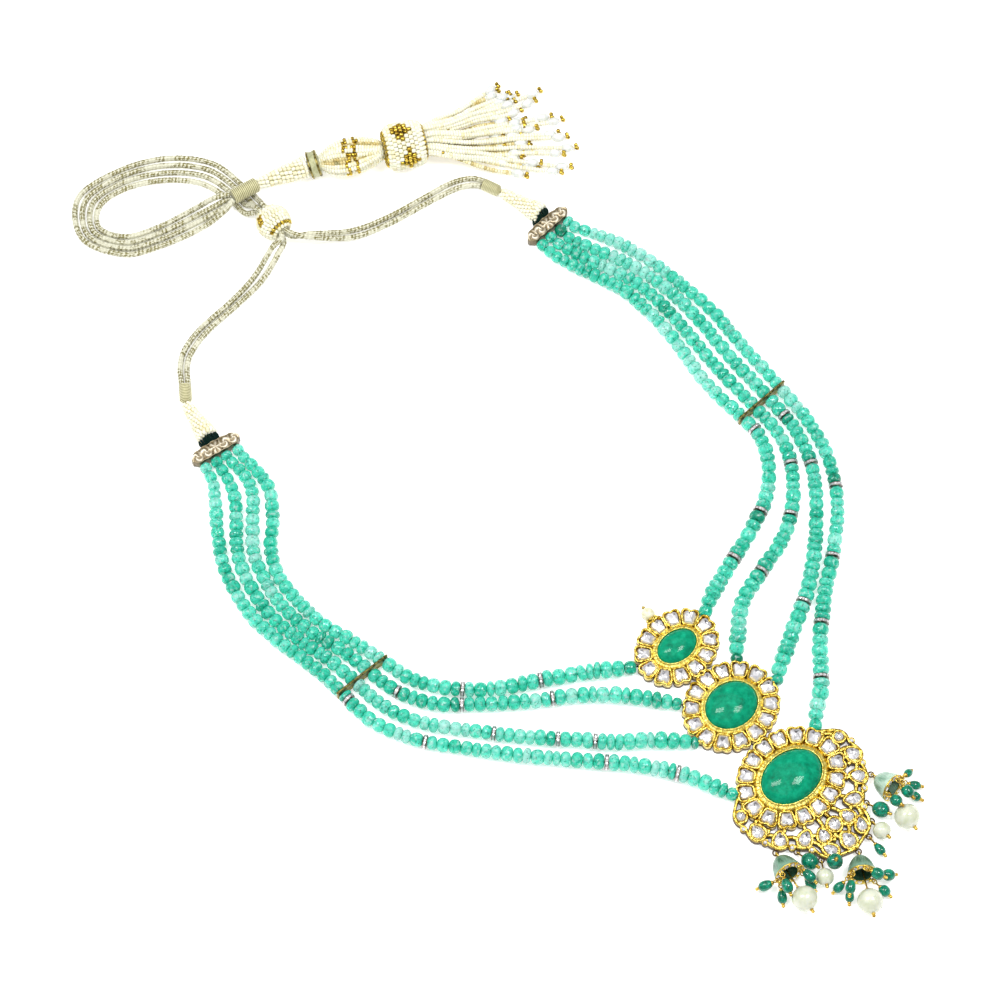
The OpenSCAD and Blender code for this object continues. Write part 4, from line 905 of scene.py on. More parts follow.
def latticeParts(m):
    # collets with stones, a border, bent wires and dots with stones on both sides, and the eyelets
    c = np.array(m["middle"])
    parts, stones = [], []
    low, high = lattice["low"], lattice["high"]
    for x, y, a, b, turn in bothSides(lattice["stones"]) + lattice["middle"]:
        angle, place = math.radians(turn), c + np.array([x, y])
        outline = turnFlat(softLoop(dropOutline(a + 0.6, b + 0.6)), place, angle)
        parts.append(wallPart(outline, 0.5, low, high + rng.normal(0, 0.05)))
        parts.append(platePart(outline, low + 0.1, high - 1.3))
        stones.append(uncutStone(turnFlat(softLoop(dropOutline(a + 0.2, b + 0.22)), place, angle),
                                 high - 1.25, lattice["stoneTop"] + rng.normal(0, 0.06)))
    edge = smoothCurve(lattice["edge"], 6)
    bend = np.linspace(0, 1, 7)[:, None]
    dot = turnedPart([(1.05, 0.5), (1.2, 1.5), (1.22, 2.9), (1.08, 3.15), (0.85, 3.1), (0.74, 2.8)], 18)
    dotStone = copiesOf(gemForm(9), [(0, 0, 2.95)], upright, (0.78, 0.78, 0.5), 0.9)
    for flip in (1, -1):
        side = np.array([flip, 1])
        parts.append(wallPart(edge[::flip] * side + c, 0.56, low, high - 0.05, closed=False))
        for x0, y0, x1, y1 in lattice["wires"]:
            first, last = np.array([(x0, y0), (x1, y1)]) * side + c
            across = np.array([first[1] - last[1], last[0] - first[0]])
            line = first + (last - first) * bend + across * 0.12 * np.sin(np.pi * bend)
            parts.append(wallPart(line, 0.7, low + 0.2, high - 0.12, closed=False))
        for x, y in lattice["dots"]:
            place = (x * flip + c[0], y + c[1], 0)
            parts.append(moved(dot, place))
            stones.append(moved(dotStone, place))
    for x, y, ex, ey in eyelets:
        parts.append(moved(ringPart(0.9, 0.27, 20), (x, y, eyeletHeight)))
        reach = level([(ex, ey), (x + (ex - x) * 0.4, y + (ey - y) * 0.4)], eyeletHeight)
        parts.append(sweepPart(reach, circle(0.36, 8)))
    return parts, stones


# Pearl on the first pendant: a cup, a post through the pearl and a ring of grains round the cup
topPearl = {"place": (0.5, -44.1, 2.6), "axis": (0.1, 1, 0.05), "radius": 2.4, "grains": 12,
            "grain": 0.42, "grainRing": 1.8, "grainHeight": -2.2,
            "cup": [(0, -3.4), (1, -3.4), (1.75, -2.75), (1.95, -2.15), (1.6, -2.0), (0.2, -2.5)],
            "post": [(0.3, -3.2), (0.3, 2.7), (0.8, 2.6), (0.62, 2.95), (0.3, 3.05), (0.42, 3.25),
                     (0.05, 3.4)]}
pearlFrame = framesFor(topPearl["axis"])
for key, m in pendants.items():
    parts, stones = settingParts(m)
    if key == "3":
        more, latticeStones = latticeParts(m)
        putPiece("lattice_gold", more, latticeGold)
        putPiece("lattice_stones_cut", latticeStones, polki, ["lattice_stones"])
    if key == "1":
        reach = topPearl["grainRing"]
        ring = level(oval(reach, reach, fullTurn(topPearl["grains"])), topPearl["grainHeight"])
        post = [turnedPart(topPearl["cup"], 20), turnedPart(topPearl["post"], 12),
                copiesOf(ballPart(6, 8), ring, upright, topPearl["grain"])]
        parts += [moved(q, topPearl["place"], pearlFrame) for q in post]
    putPiece("setting_" + key, parts, collets, ["pendant_" + key])
    putPiece("foil_rim_" + key, [foilRim(m)], foil)
    putPiece("petal_stones_" + key, stones, polki, ["polki_stones_" + key])
    putPiece("green_cabochon_" + key, [cabochonPart(m)], emerald, ["cabochon_" + key])
topBall = copiesOf(ballPart(16, 24), [topPearl["place"]], pearlFrame, topPearl["radius"])
putPiece("pearl_on_top", [topBall], creamPearl, ["top_pearl"])
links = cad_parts["links"].data.materials
links.clear()
links.append(gold)

# Domes and drops under the lattice
domes = {"aim": [(-104, 20), (-126.8, 20), (-81, 20)], "width": 9.6, "height": 7, "link": 2.5,
         "wall": 1, "rimStones": 11, "shade": (0.36, 0.32, 0.72), "rimStone": (0.82, 0.82, 0.45),
         "rimGrain": (0.27, 0.27, 0.3), "sides": 72}
eyeRadius, eyeWire = 0.8, 0.225
# What holds each drop (0 to 2 a dome's rim, 3 to 5 inside a dome, 10 up an eyelet), angle, place, width
drops = {
    "large_pearl_left": [(3, 0, (-26.6, -153.3, 4.5), 8.7)],
    "large_pearl_middle": [(4, 0, (-10.8, -167.7, 4.5), 8.7)],
    "large_pearl_right": [(5, 0, (18.2, -154, 4.5), 8.7)],
    "small_pearls": [(14, 0, (-16.2, -151.8, 3.15), 6), (17, 0, (8.9, -152, 3.15), 6)],
    "green_drops": [
        (13, 0, (-16.4, -144.6, 3.1), 5.9), (15, 0, (-11.2, -150.6, 6.9), 5.8),
        (16, 0, (13.6, -146.4, 3.1), 5.8), (18, 0, (4.4, -156, 1.9), 3.4),
        (0, 180, (-33.1, -141.5, 3.4), 3.8), (0, 210, (-31.2, -147.6, 2), 3.5),
        (0, 130, (-28.9, -146.8, 7.6), 3.9), (0, 345, (-21.2, -150.3, 2.2), 3.6),
        (0, 30, (-20.8, -148.7, 6.4), 3.8), (1, 180, (-14.8, -157.2, 2.6), 3.4),
        (1, 140, (-13, -160.3, 6.8), 3.6), (1, 210, (-14, -161.6, 1.9), 3.2),
        (1, 80, (-3.8, -163, 8.6), 4.4), (1, 0, (0.2, -164.7, 3.4), 4.4),
        (1, 325, (-4.2, -167.7, 2.2), 4), (2, 15, (28.9, -142.9, 3.6), 3),
        (2, 340, (28.2, -147.2, 2.6), 3.2), (2, 60, (23.4, -148.2, 7.4), 4.4),
        (2, 310, (25.9, -149.9, 1.8), 3.2), (2, 150, (18, -148.3, 8.3), 4.2)]}


def domeAxes(i):
    a, e = (math.radians(x) for x in domes["aim"][i])
    axis = np.array([math.cos(a) * math.cos(e), math.sin(a) * math.cos(e), math.sin(e)])
    across = np.array([-math.sin(a), math.cos(a), 0])
    return axis, across, np.cross(axis, across)


def eyeletAt(i):
    return np.array([*eyelets[i][:2], eyeletHeight])


def hookOf(holder, angle):
    # where a drop hangs and the axis of the loop that holds it
    if holder >= 10:
        return eyeletAt(holder - 10), np.array([0, 0, 1.0])
    i = holder % 3
    axis, across, upward = domeAxes(i)
    if holder >= 3:
        return eyeletAt(i) + axis * (domes["link"] + 1 + eyeRadius), upward
    reach = (domes["width"] - domes["wall"]) / 2 * spoke(math.radians(angle), across, upward)
    return eyeletAt(i) + axis * (domes["link"] + domes["height"] + 0.6) + reach, None


def hang(holder, angle, place):
    # hook, loop axis, the eye's middle and the pin's way from it to the drop
    hook, loop = hookOf(holder, angle)
    place = np.array(place, float)
    if loop is None:
        axis, across, _ = domeAxes(holder)
        loop = np.cross(axis, unit(place - hook))
        loop = unit(loop) if np.linalg.norm(loop) > 0.2 else across
    v = place - hook
    away = unit(v - (v @ loop) * loop)
    eye = hook + eyeRadius * away
    return hook, loop, away, eye, unit(place - eye)


def domePart(i):
    # bell with eight leaves cut round it, |cos(4 angle + 1.4 rise)|^0.6, and fine veins of cos(32 angle)
    r, w, h = domes["width"] / 2, domes["wall"], domes["height"]
    outer = smoothCurve([(0.9, -0.4), (1.2, 0), (r * 0.42, 0.3), (r * 0.62, 1.3), (r * 0.81, 3),
                         (r * 0.95, 5), (r, 6.2), (r + 0.05, h - 0.1)], 4)
    inner = smoothCurve([(r - w, h - 0.1), (r * 0.95 - w, 5), (r * 0.8 - w, 3.2), (r * 0.6 - w, 2),
                         (r * 0.3, 1.3), (0.2, 1.2)], 3)
    profile = np.vstack([outer, inner])
    outside = (np.arange(len(profile)) < len(outer))[:, None]
    angle, rise = fullTurn(domes["sides"]), np.clip(profile[:, 1:] / h, 0, 1)
    leaf = np.abs(np.cos(4 * angle + 1.4 * rise)) ** 0.6
    vein = 0.5 + 0.5 * np.cos(32 * angle + 9 * rise * np.sign(np.sin(8 * angle)))
    cut = np.sin(np.pi * np.clip(rise * 1.15, 0, 1)) * outside
    depth = cut * (0.045 * (1 - leaf) + 0.03 * (1 - vein))
    # painted shade: the tone falls by 7 times the depth in the cuts and by 0.3 inside the bell
    tone = np.clip(domes["shade"][i] - 7 * depth - 0.3 * ~outside, 0, 1)
    axis = domeAxes(i)[0]
    bell = turnedPart(profile, domes["sides"], tone, wave=lambda *_: 1 - depth)
    return moved(bell, eyeletAt(i) + axis * domes["link"], framesFor(axis))


def domeTrim(i):
    # gold mouth with stones, a cap under the top ring, the ring itself, one inside and loops on the rim
    axis, across, upward = domeAxes(i)
    r, h, base = domes["width"] / 2, domes["height"], eyeletAt(i) + axis * domes["link"]
    frames, count = framesFor(axis), domes["rimStones"]
    mouth = turnedPart([(r - 1.5, h - 0.15), (r + 0.05, h - 0.35), (r + 0.2, h - 0.1), (r + 0.12, h + 0.2),
                        (r - 0.05, h + 0.12), (r - 0.55, h + 0.02), (r - 1.25, h + 0.02),
                        (r - 1.45, h + 0.22), (r - 1.6, h + 0.1)], 48, ring=True)
    cap = turnedPart([(0.3, -0.75), (0.75, -0.7), (1.15, -0.35), (1.7, 0.15), (1.75, 0.4), (1.2, 0.5)], 20)

    def onRim(angle):
        return base + axis * (h + 0.12) + (r - 0.78) * spoke(angle, across, upward)

    stones = copiesOf(gemForm(), onRim(fullTurn(count)), frames, domes["rimStone"],
                      rng.uniform(0.8, 1, count))
    wire = ringPart(eyeRadius, eyeWire, 18)
    parts = [moved(mouth, base, frames), moved(cap, base, frames),
             copiesOf(ballPart(5, 8), onRim(fullTurn(count) + np.pi / count), frames, domes["rimGrain"]),
             moved(ringPart(eyeRadius + 0.4, 0.25, 24), base - axis * (0.4 + eyeRadius),
                   framesFor(np.cross(axis, (0, 0, 1)))),
             moved(wire, hookOf(i + 3, 0)[0], framesFor(upward))]
    for holder, angle, place, _ in drops["green_drops"]:
        if holder == i:
            hook, loop = hang(holder, angle, place)[:2]
            parts.append(moved(wire, hook, framesFor(loop)))
    return parts, [stones]


def greenDropForm(width):
    # small ones are pears, fuller at the far end; large ones are rondelles
    lat = np.linspace(-0.46, 0.46, 11) * np.pi
    fat = 1 + (0.16 * np.sin(lat) if width < smallDrop else 0)
    return turnedPart(np.stack([np.cos(lat) ** 0.8 * fat * 0.93, np.sin(lat)], -1), 18)


smallDrop = 4  # width under which a green drop is a pear
# Pins: a turned tip beyond the drop and a cap before it
pinTip = turnedPart([(0.05, -0.35), (0.5, -0.35), (0.75, 0), (0.5, 0.3), (0.42, 0.35), (0.62, 0.62),
                     (0.6, 0.9), (0.3, 1.2), (0.05, 1.28)], 12)
pinCap = turnedPart([(0.3, -0.45), (0.62, -0.3), (0.9, 0.1), (0.6, 0.25)], 12)
pinParts, dropParts = [], []
for name, rows in drops.items():
    pearls = []
    for holder, angle, place, width in rows:
        hook, loop, away, eye, way = hang(holder, angle, place)
        frames, radius, place = framesFor(way), width / 2, np.array(place, float)
        half = radius * (1.3 if width < smallDrop else 1)
        if name == "green_drops":
            dropParts.append(copiesOf(greenDropForm(width), [place], frames, (radius, radius, half)))
        else:
            pearls.append(copiesOf(ballPart(20, 30), [place], frames, (radius, radius, radius * 0.985)))
        far = place + way * (half + 0.1)
        pinParts += [moved(ringPart(eyeRadius, eyeWire, 18), eye, framesFor(np.cross(away, loop))),
                     sweepPart([eye + way * eyeRadius, far + way * 0.2], circle(0.3, 8), up=loop),
                     moved(pinTip, far, frames), moved(pinCap, place - way * (half - 0.05), frames)]
    if pearls:
        putPiece(name + "_round", pearls, pearl, [name])
putPiece("green_drops_round", dropParts, dropGreen, ["green_drops"])
putPiece("head_pins", pinParts, pinGold, ["drop_pins"])
for i, name in enumerate(("left", "middle", "right")):
    trim, stones = domeTrim(i)
    putPiece("dome_carved_" + name, [domePart(i)], carvedStone, ["dome_" + name])
    putPiece("dome_trim_" + name, trim, gold)
    putPiece("dome_gems_" + name, stones, polki)

# Bars across the strings: a narrow plate with a row of grains on it
barProfile = [(-0.42, 0.05), (0.42, 0.05), (0.5, 0.5), (0.3, 1), (0.3, 4.3), (0.4, 4.6), (0.34, 5.0),
              (-0.34, 5.0), (-0.4, 4.6), (-0.3, 4.3), (-0.3, 1), (-0.5, 0.5)]
for side, (x, y, turn, length) in strandBars.items():
    way, middle = heading(turn)[0], np.array([x, y, 0])
    s = np.linspace(-length / 2, length / 2, 30)
    plate = sweepPart(middle + s[:, None] * way, barProfile)
    grains = np.arange(-length / 2 + 0.4, length / 2, 0.8)
    row = copiesOf(ballPart(5, 8), middle + grains[:, None] * way + (0, 0, 4.95), upright, (0.36, 0.36, 0.34))
    putPiece("strand_bar_" + side + "_grained", [plate, row], darkGold, ["strand_bar_" + side])


def endBarPart(length):
    # each slice is a closed outline of bottom, sides and a carved crown; the relief is a flower between
    # four curled leaves, each a dome with a spiral of cos(2.5 angle + 7 distance) cut into it
    n, m = 121, 33
    half, w = length / 2 + 0.5, endBarWidth / 2
    x = np.linspace(-half, half, n)
    u = x / half
    scallop = 0.96 + 0.05 * np.cos(2 * np.pi * x / 3.7)
    low = -w * np.clip(1.06 - u ** 8, 0.3, 1) * scallop
    high = (w + 0.75 * np.cos(u * np.pi / 2)) * np.clip(1.05 - u ** 8, 0.3, 1) * scallop
    v = np.linspace(-1, 1, m)
    y = (low + high)[:, None] / 2 + (high - low)[:, None] / 2 * v
    relief = np.zeros(y.shape)
    for c in (-7.2, -3.7, 0, 3.7, 7.2):
        side, up = (x[:, None] - c) * (1 if c > 0 else -1), y - 0.2
        away, t = np.hypot(side / 2.3, up / 2.7), np.arctan2(up, side)
        cut = np.cos(3 * t) ** 2 if c == 0 else 0.5 + 0.5 * np.cos(2.5 * t + 7 * away)
        relief = np.maximum(relief, np.clip(1 - away ** 2, 0, 1) ** 0.35 * (0.45 + 0.55 * cut))
    border = np.clip((np.abs(v) - 0.8) * 9, 0, 1) * np.clip((1 - np.abs(v)) * 12, 0, 1)
    relief = np.maximum(relief, 0.7 * border)
    top = np.minimum(3.7 + 0.25 * (1 - v ** 4) * (1 - u[:, None] ** 4) + 0.85 * relief, 4.8)
    crown = np.stack([np.repeat(x[:, None], m, 1), y, top], -1)
    rise = ((0.96, 0.02), (1.0, 1.5), (0.97, 3.1))

    def flank(edge, share, z):
        return np.stack([x, edge * share, np.full(n, z)], -1)[:, None]

    loop = [*(flank(low, *q) for q in rise), crown, *(flank(high, *q) for q in rise[::-1])]
    sides = np.full((n, len(rise)), 0.3)
    return gridPart(np.concatenate(loop, 1), tone=np.hstack([sides, relief, sides]))


for side, (x, y, turn, length) in endBars.items():
    frames = np.stack([*heading(turn), (0, 0, 1)], -1)
    bar = moved(endBarPart(length), (x, y, 0), frames)
    putPiece("end_bar_" + side + "_carved", [bar], champagne, ["end_bar_" + side])


# Seed beads, by width and length: woven over cones, slider and barrel, or threaded on strings
seeds = {"lean": 0.05, "fine": (1.4, 1.3), "cone": (1.55, 1.45), "barrel": (1.68, 1.5), "string": (1.95, 1.0),
         "sunk": 0.42, "sizes": (0.93, 1.03), "tones": (0.5, 1)}
cordEnds = {"coneStart": {"left": (-73.2, 104.4, 3.9), "right": (71.6, 97.2, 3.9)},
            "coneEnd": {"left": (-71, 119, 2.3), "right": (67.4, 112.6, 2.3)},
            "wrapEnd": {"left": (-66.8, 125, 2.2), "right": (64.6, 119.6, 2.2)},
            "wrapRadius": 2.2, "wrapPitch": 0.62, "wrapDepth": 0.14}
slider = {"place": (-4, 153.8, 6.45), "radius": 6.4, "bore": 3.0, "lining": 0.85, "reach": 61,
          "liningReach": 50, "patch": (-0.28, 2.45, 1.9), "flower": (0.8, 0.95, 1.35, 1.6)}
# Places along the tassel
tassel = {"head": (-8.6, 171.6, 5.5), "neck": (1.4, 170.2, 5.5), "collar": (19.6, 164.2, 5.75),
          "bulb": (23.8, 162.2, 6.5), "barrel": (43.6, 150.6, 8.8), "end": (57.4, 143.8, 8.8),
          "wrapRadius": 2.8, "wrapPitch": 0.66, "wrapDepth": 0.16, "barrelRadius": 8.7, "barrelColumns": 30,
          "patches": 4, "patchTurn": 1.3}


def seedForm():
    # unit bead: radius 0.35 + 0.65 cos(latitude)^0.6
    lat = np.array([-0.42, -0.25, 0, 0.25, 0.42]) * np.pi
    r = 0.35 + 0.65 * np.cos(lat) ** 0.6
    return turnedPart(np.stack([r / r.max(), np.sin(lat) / np.sin(lat[-1])], -1), 8)


seed = seedForm()


def seedParts(at, frames, size, tone, gilt):
    # ivory seeds, and those where gilt is true as a part of their own
    return [copiesOf(seed, at[q], frames[q], size[q], tone[q]) for q in (~gilt, gilt)]


def spanOf(start, end):
    start, end = np.array(start, float), np.array(end, float)
    return start, np.linalg.norm(end - start), framesFor(end - start)


def wovenParts(outline, bead, goldWhere, columns):
    # rows of beads over an outline of radius and height, about the Z axis; every other row is turned by
    # half a bead
    width, length = bead
    line = np.asarray(outline, float)
    run = runOf(line)
    rows = max(2, round(run[-1] / length))
    s = (np.arange(rows) + 0.5) * run[-1] / rows
    spot, way = pointAt(line, run, s), alongAt(line, run, s, 0.35)
    spot = spot - np.stack([way[:, 1], -way[:, 0]], -1) * width * seeds["sunk"]
    at, frames, marks = [], [], []
    for i in range(rows):
        n = max(4, round(2 * np.pi * spot[i, 0] / width))
        if columns and abs(n - columns) <= 2:
            n = columns
        a = (np.arange(n) + 0.5 * (i % 2)) * 2 * np.pi / n
        radial = level(oval(1, 1, a), 0)
        at.append(radial * spot[i, 0] + (0, 0, spot[i, 1]))
        frames.append(framesFor(way[i, 0] * radial + (0, 0, way[i, 1]), radial))
        marks.append(np.stack([a, np.full(n, spot[i, 1]), np.full(n, i / (rows - 1.0))], -1))
    at, frames, marks = np.concatenate(at), np.concatenate(frames), np.concatenate(marks)
    n = len(at)
    gilt = goldWhere(marks) if goldWhere else np.zeros(n, bool)
    frames = framesFor(frames[..., 2] + rng.normal(0, seeds["lean"], (n, 3)), frames[..., 1])
    size = np.array([width, width, run[-1] / rows]) / 2 * rng.uniform(*seeds["sizes"], (n, 1))
    return seedParts(at, frames, size, rng.uniform(*seeds["tones"], n), gilt)


def coreOf(outline, inset, tone=0.0):
    # a plain form inside an outline
    line = np.asarray(outline, float)
    line = np.stack([np.maximum(line[:, 0] - inset, 0.3), line[:, 1]], -1)
    line[:, 1] = np.clip(line[:, 1], line[0, 1] + inset, line[-1, 1] - inset)
    return turnedPart(line, 32, tone)


def putWoven(name, start, end, outline, replaces, bead, goldWhere=None, columns=None, core=0.0):
    place, _, turn = spanOf(start, end)
    ivory, golden = wovenParts(outline, bead, goldWhere, columns)
    parts = [moved(q, place, turn) for q in (ivory, coreOf(outline, bead[0] * 0.5, core))]
    putPiece(name, parts, seedPearl, replaces)
    if goldWhere:
        putPiece(name + "_gold", [moved(golden, place, turn)], seedGold)


def woundPart(outline, pitch, depth):
    # thread wound round an outline: radius = outline - depth + depth |cos(pi run / pitch + angle / 2)|
    line, sides = np.asarray(outline, float), 36
    run = runOf(line)
    s = np.linspace(0, run[-1], max(8, int(run[-1] / pitch * 10)))
    spot = pointAt(line, run, s)
    # tone is the crown of each turn: painted light on the crown and painted dark in the valley
    crown = np.abs(np.cos(np.pi * s[:, None] / pitch + fullTurn(sides) / 2))
    return turnedPart(spot, sides, crown, wave=lambda *_: 1 - depth * (1 - crown) / spot[:, :1])


for side in ("left", "right"):
    start, end = cordEnds["coneStart"][side], cordEnds["coneEnd"][side]
    place, l, turn = spanOf(start, end)
    outline = smoothCurve([(0.4, -1), (3.3, -1), (3.9, 0.2), (3.55, 3.5), (2.7, l * 0.55), (2.1, l - 0.8),
                           (1.5, l)], 6)
    cone = "pearl_cone_" + side
    putWoven(cone + "_beads", start, end, outline, [cone], seeds["fine"], core=0.2)
    place, l, turn = spanOf(end, cordEnds["wrapEnd"][side])
    r = cordEnds["wrapRadius"]
    outline = smoothCurve([(0.8, 0.5), (r - 0.12, 1.5), (r, 2.2), (r, l - 0.5), (r - 0.25, l)], 6)
    wound = woundPart(outline, cordEnds["wrapPitch"], cordEnds["wrapDepth"])
    wrap = "cord_wrap_" + side
    putPiece(wrap + "_thread", [moved(wound, place, turn)], zari, [wrap])

ball = slider["radius"]
lat = np.radians(np.linspace(-slider["reach"], slider["reach"], 25))
outline = oval(ball, ball, lat) + (0, ball)


def sliderGold(marks):
    # an arc next to the near mouth, and a small flower on the left
    a, z, row = marks.T
    rise, turn, size = slider["patch"]
    first, last, middle, half = slider["flower"]
    near = np.hypot((a - turn) * ball, z - ball - rise * ball) < size
    return near | ((row > first) & (row < last) & (np.abs(a - middle) < half))


x, y, z = slider["place"]
putWoven("slider_beads", (x, y + ball, z), (x, y - ball, z), outline, [], seeds["fine"], sliderGold)
lat = np.radians(np.linspace(-slider["liningReach"], slider["liningReach"], 11))
inner, bore = ball - slider["lining"], slider["bore"]
inside = oval(inner, inner, lat) + (0, ball)
lining = turnedPart([(bore, 1.5), *inside, (bore, 2 * ball - 1.5), (bore, ball)], 36, ring=True)
lining = moved(lining, (x, y + ball, z), framesFor((0, -1, 0)))
putPiece("slider_core", [lining], seedPearl, ["slider"])

# Tassel
place, l, turn = spanOf(tassel["head"], tassel["neck"])
r = tassel["wrapRadius"]
outline = [(0.4, 0), (r - 0.5, 0), (r - 0.1, 0.35), (r, 1), (r, l - 0.8), (r - 0.15, l - 0.25), (r - 0.6, l),
           (0.4, l)]
wound = woundPart(outline, tassel["wrapPitch"], tassel["wrapDepth"])
putPiece("tassel_wrap_thread", [moved(wound, place, turn)], zari, ["tassel_wrap"])

place, l, turn = spanOf(tassel["neck"], tassel["collar"])
outline = smoothCurve([(1.5, 0.5), (2.2, 1.2), (3.2, l * 0.5), (4.2, l - 1.1), (4, l - 0.4), (3.0, l)], 6)
putWoven("tassel_cone_beads", place, tassel["collar"], outline, ["tassel_cone"], seeds["cone"])

place, l, turn = spanOf(tassel["collar"], tassel["bulb"])
outline = smoothCurve([(2.6, 0.75), (4.3, 0.95), (4.85, 1.6), (4.7, l * 0.5), (4.85, l - 1.2), (4.2, l - 0.4),
                       (3.2, l - 0.15)], 6)
satin = turnedPart(outline, 60, 0.55, wave=lambda a, row: 1 + 0.018 * np.sin(9 * a + row * 0.35))
putPiece("tassel_ring_satin", [moved(satin, place, turn)], satinBand, ["tassel_ring"])
rims = [moved(ringPart(4.72, 0.42, 60), (0, 0, 1)), moved(ringPart(4.6, 0.46, 60), (0, 0, l - 0.8))]
putPiece("tassel_ring_rims", [moved(q, place, turn) for q in rims], darkGold)


def stringBeads(line, last=None):
    # beads threaded along a line up to the length "last"
    width, length = seeds["string"]
    run = runOf(line)
    s = np.arange(length / 2, run[-1] if last is None else last, length)
    n = len(s)
    frames = framesFor(alongAt(line, run, s, 0.5) + rng.normal(0, 0.06, (n, 3)))
    size = np.array([width, width, length * 1.02]) / 2 * rng.uniform(0.92, 1.04, (n, 1))
    return pointAt(line, run, s), frames, size


def splitBeads(places, gilt, shade):
    # gold beads are slimmer
    at, frames, size = (np.concatenate(q) for q in zip(*places))
    gilt, shade = np.concatenate(gilt), np.concatenate(shade)
    size[gilt] *= (0.86, 0.86, 1)
    return seedParts(at, frames, size, np.clip(shade + rng.normal(0, 0.14, len(shade)), 0, 1), gilt)


# Lantern: bundles of five strings bulge between the ring and the barrel, with two rows of gold beads round
# the middle. In each bundle the strings lie at a share of its width, lower and darker to the sides, the
# darkness a painted shade
bulb = {"bundles": 7, "sway": 0.22, "rows": (0.44, 0.57), "rowWidth": 0.028, "rowSpread": 0.014,
        "strings": ((-0.53, 1.3, 0.2), (-0.27, 0.5, 0.65), (0, 0, 0.85), (0.27, 0.5, 0.65), (0.53, 1.3, 0.2))}
place, l, turn = spanOf(tassel["bulb"], tassel["barrel"])
outline = smoothCurve([(2.6, 0.2), (3.6, l * 0.05), (5.6, l * 0.16), (6.9, l * 0.31), (7.3, l * 0.47),
                       (7, l * 0.62), (5.9, l * 0.79), (4.5, l * 0.92), (3.2, l - 0.3)], 8)
stringWidth = seeds["string"][0]
t = outline[:, 1] / l
places, gilt, shade = [], [], []
for bundle in range(bulb["bundles"]):
    lean = bulb["sway"] * np.sin(2.6 * t + 2.4 * bundle)
    for share, sunk, tone in bulb["strings"]:
        a = 2 * np.pi * (bundle + share) / bulb["bundles"] + lean
        r = outline[:, 0] - stringWidth / 2 - sunk * np.sin(np.pi * t) ** 0.5
        spot = stringBeads(level(oval(r, r, a), outline[:, 1]))
        at = spot[0][:, 2] / l
        rows = np.array(bulb["rows"]) + rng.normal(0, bulb["rowSpread"], 2)
        places.append(spot)
        gilt.append(np.abs(at[:, None] - rows).min(1) < bulb["rowWidth"])
        # the low tone of the side strings is painted shade
        shade.append(np.full(len(at), tone))
ivory, golden = (moved(q, place, turn) for q in splitBeads(places, gilt, shade))
core = moved(coreOf(outline, stringWidth * 1.35), place, turn)
putPiece("tassel_bulb_strings", [ivory, core], seedPearl, ["tassel_bulb"])
putPiece("tassel_bulb_gold", [golden], seedGold)

place, l, turn = spanOf(tassel["barrel"], tassel["end"])
r = tassel["barrelRadius"]
outline = smoothCurve([(5.4, 0.1), (6.3, 0.45), (r - 1, 1.6), (r - 0.2, 3.2), (r, l / 2), (r - 0.2, l - 3.2),
                       (r - 1, l - 1.2), (6.3, l - 0.15), (5.4, l)], 6)


def barrelGold(marks):
    # diamonds round the middle, |height| / 4 + |run round| / 4.6 < 1, in turn above and below it; and the
    # two end rows
    a, z, row = marks.T
    step = 2 * np.pi / tassel["patches"]
    off = (a - tassel["patchTurn"] + step / 2) % step - step / 2
    slant = np.where(np.round((a - off - tassel["patchTurn"]) / step) % 2 == 0, -0.9, 0.9)
    return (np.abs(z - l / 2 - slant) / 4 + np.abs(off) * (r - 0.7) / 4.6 < 1) | (row < 0.04) | (row > 0.96)


putWoven("tassel_barrel_beads", place, tassel["end"], outline, ["tassel_barrel"], seeds["barrel"], barrelGold,
         tassel["barrelColumns"])

# Skirt: where the strings end on the table, how long and wide the pearls are, and the height of a string
# and of a layer at places along it
skirt = {"tips": [
        (94.7, 147.6), (95.7, 141.9), (93.9, 141.2), (95.1, 138.3), (94.7, 134.4), (105.2, 136.1),
        (101.2, 134), (101.4, 125.2), (103.7, 121.9), (92.1, 129.9), (90.9, 127.6), (94.2, 124.9),
        (99, 118.4), (100.3, 115.1), (100, 109.8), (94.8, 110.6), (86, 112.7), (93.4, 104.9),
        (89.4, 105.6)],
         "under": 22, "underLength": 38, "pearlLength": 4.8, "pearlWidth": 3.3, "spread": 5.3,
         "places": (0, 3, 15, 27, 46), "height": (8.8, 8.7, 5.2, 2.3, 2.0),
         "layer": (3.4, 3.1, 2.6, 1.3, 0.9), "tipSize": (0.78, 0.78, 0.6), "golden": 0.0015,
         "shades": (0.85, 0.32)}
end = np.array(tassel["end"])
way = unit(end - np.array(tassel["barrel"]))
across = np.array([-way[1], way[0], 0])
tips = np.array(skirt["tips"]) - end[:2]
lateral, reach = tips @ across[:2], tips @ way[:2]
rows = [(lateral[i], reach[i], 0.35 + 0.65 * ((j * 7) % 3) / 2) for j, i in enumerate(np.argsort(lateral))]
under = np.linspace(lateral.min() + 1.5, lateral.max() - 1.5, skirt["under"])
rows += [(x + rng.normal(0, 0.5), skirt["underLength"] + rng.uniform(-10, 1), -0.6 + 0.5 * (k % 2))
         for k, x in enumerate(under)]
places, gilt, shade, rice, clusters = [], [], [], [], []
widest = max(abs(lateral.min()), lateral.max())
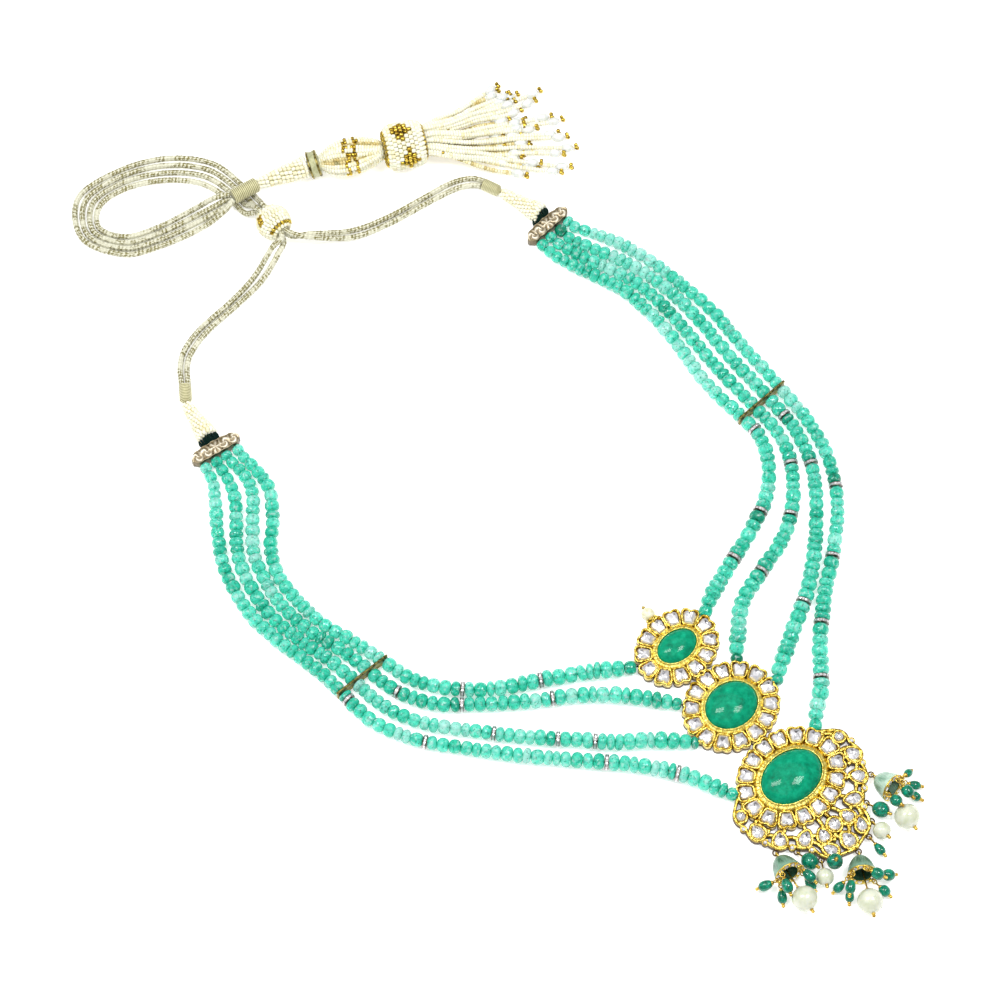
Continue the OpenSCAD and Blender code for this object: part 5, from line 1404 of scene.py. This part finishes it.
for x, a, layer in rows:
    u = x / widest
    d = np.array([0, 3, 9, 15, 21, 27, 33, a - 4, a])
    d = d[np.concatenate([d[:-2] < a - 5, [True, True]])]
    t = d / a
    begin = skirt["spread"] * u
    flat = begin + (x - begin) * t ** 1.1 + 3.6 * np.sin(7.5 * t + 5.1 * x) * t * (1 - t)
    lift = layer * np.interp(d, skirt["places"], skirt["layer"]) * np.sqrt(np.clip(1.2 - u ** 2, 0.1, 1))
    high = np.interp(d, skirt["places"], skirt["height"]) + lift
    high[-2:] = np.maximum(1.68, high[-2:] * 0.9)
    line = smoothCurve(level(end[:2] + d[:, None] * way[:2] + flat[:, None] * across[:2], high))
    run = runOf(line)
    stop = run[-1] - skirt["pearlLength"] - 0.9
    spot = stringBeads(line, stop)
    places.append(spot)
    gilt.append(rng.random(len(spot[0])) < skirt["golden"])
    # strings under the top layer take the low shade: painted shade in the gaps between strings, golden partly
    # for the gold thread's colour
    shade.append(np.full(len(spot[0]), skirt["shades"][0 if layer > 0 else 1]))
    middle = stop + skirt["pearlLength"] / 2
    rice.append((pointAt(line, run, middle), alongAt(line, run, middle)))
    tip, aim = pointAt(line, run, run[-1]), alongAt(line, run, run[-1])
    turnTip = framesFor(aim)[0]
    for angle, back in ((0.3, 0.0), (2.5, -0.1), (4.4, 0.35)):
        q = tip + back * aim + 0.72 * spoke(angle, turnTip[:, 0], turnTip[:, 1])
        clusters.append((np.maximum(q, (-999, -999, 0.78)), rng.normal(0, 1, 3)))
ivory, golden = splitBeads(places, gilt, shade)
putPiece("tassel_skirt_strings", [ivory], seedPearl, ["tassel_skirt"])
at, aims = (np.array(q) for q in zip(*rice))
size = np.array([skirt["pearlWidth"], skirt["pearlWidth"], skirt["pearlLength"]]) / 2
size = size * rng.uniform(0.92, 1.02, (len(rice), 1))
putPiece("tassel_rice_pearls", [copiesOf(ballPart(12, 16), at, framesFor(aims), size)], ricePearl)
at, aims = (np.array(q) for q in zip(*clusters))
putPiece("tassel_tips", [copiesOf(seed, at, framesFor(aims), skirt["tipSize"]), golden], seedGold)

# Dark thread between each end bar and its cone: a knot with turns round it, and a fan of threads over it
for side, (x, y, turn, _) in endBars.items():
    across, back = heading(turn)
    cone, upward = np.array(cordEnds["coneStart"][side]), np.array([0, 0, 1])
    start = np.array([x, y, 2.5]) + back * (endBarWidth / 2 + 0.95 - 1.7)
    gap = np.linalg.norm((cone - start)[:2]) - 1.7 - 0.9
    outline = smoothCurve([(0.45, 0), (0.45, 1.6), (1.25, 1.75), (1.8, 1.7 + gap * 0.5),
                           (1.45, 1.7 + gap * 0.85), (0.7, 1.7 + gap)], 6)
    knot = turnedPart(outline, 30, wave=lambda q, row: 0.9 + 0.1 * np.abs(np.sin(2.5 * q + row * 0.35)))
    wraps = [moved(ringPart(1.5, 0.28, 24), (0, 0, 1.7 + gap * share)) for share in (0.25, 0.5, 0.75)]
    fan = []
    for lift in (-1, 1):
        for k in np.linspace(-1, 1, 13):
            swell = math.sqrt(1 - 0.9 * k * k) * lift
            near = start + back * 1.5 + across * 3.1 * k + upward * 1.1 * swell
            far = cone + across * 2.3 * k + upward * 2.1 * swell + back * (0.3 + 0.25 * rng.random())
            sag = upward * 0.3 * lift + across * 0.7 * k ** 3 + rng.normal(0, 0.2, 3)
            fan.append(sweepPart(smoothCurve([near, (near + far) / 2 + sag, far], 4), circle(0.36, 6)))
    wraps = [moved(q, start, framesFor(back)) for q in (knot, *wraps)]
    putPiece("tie_" + side, wraps + fan, greenThread, ["ties"] if side == "left" else [])
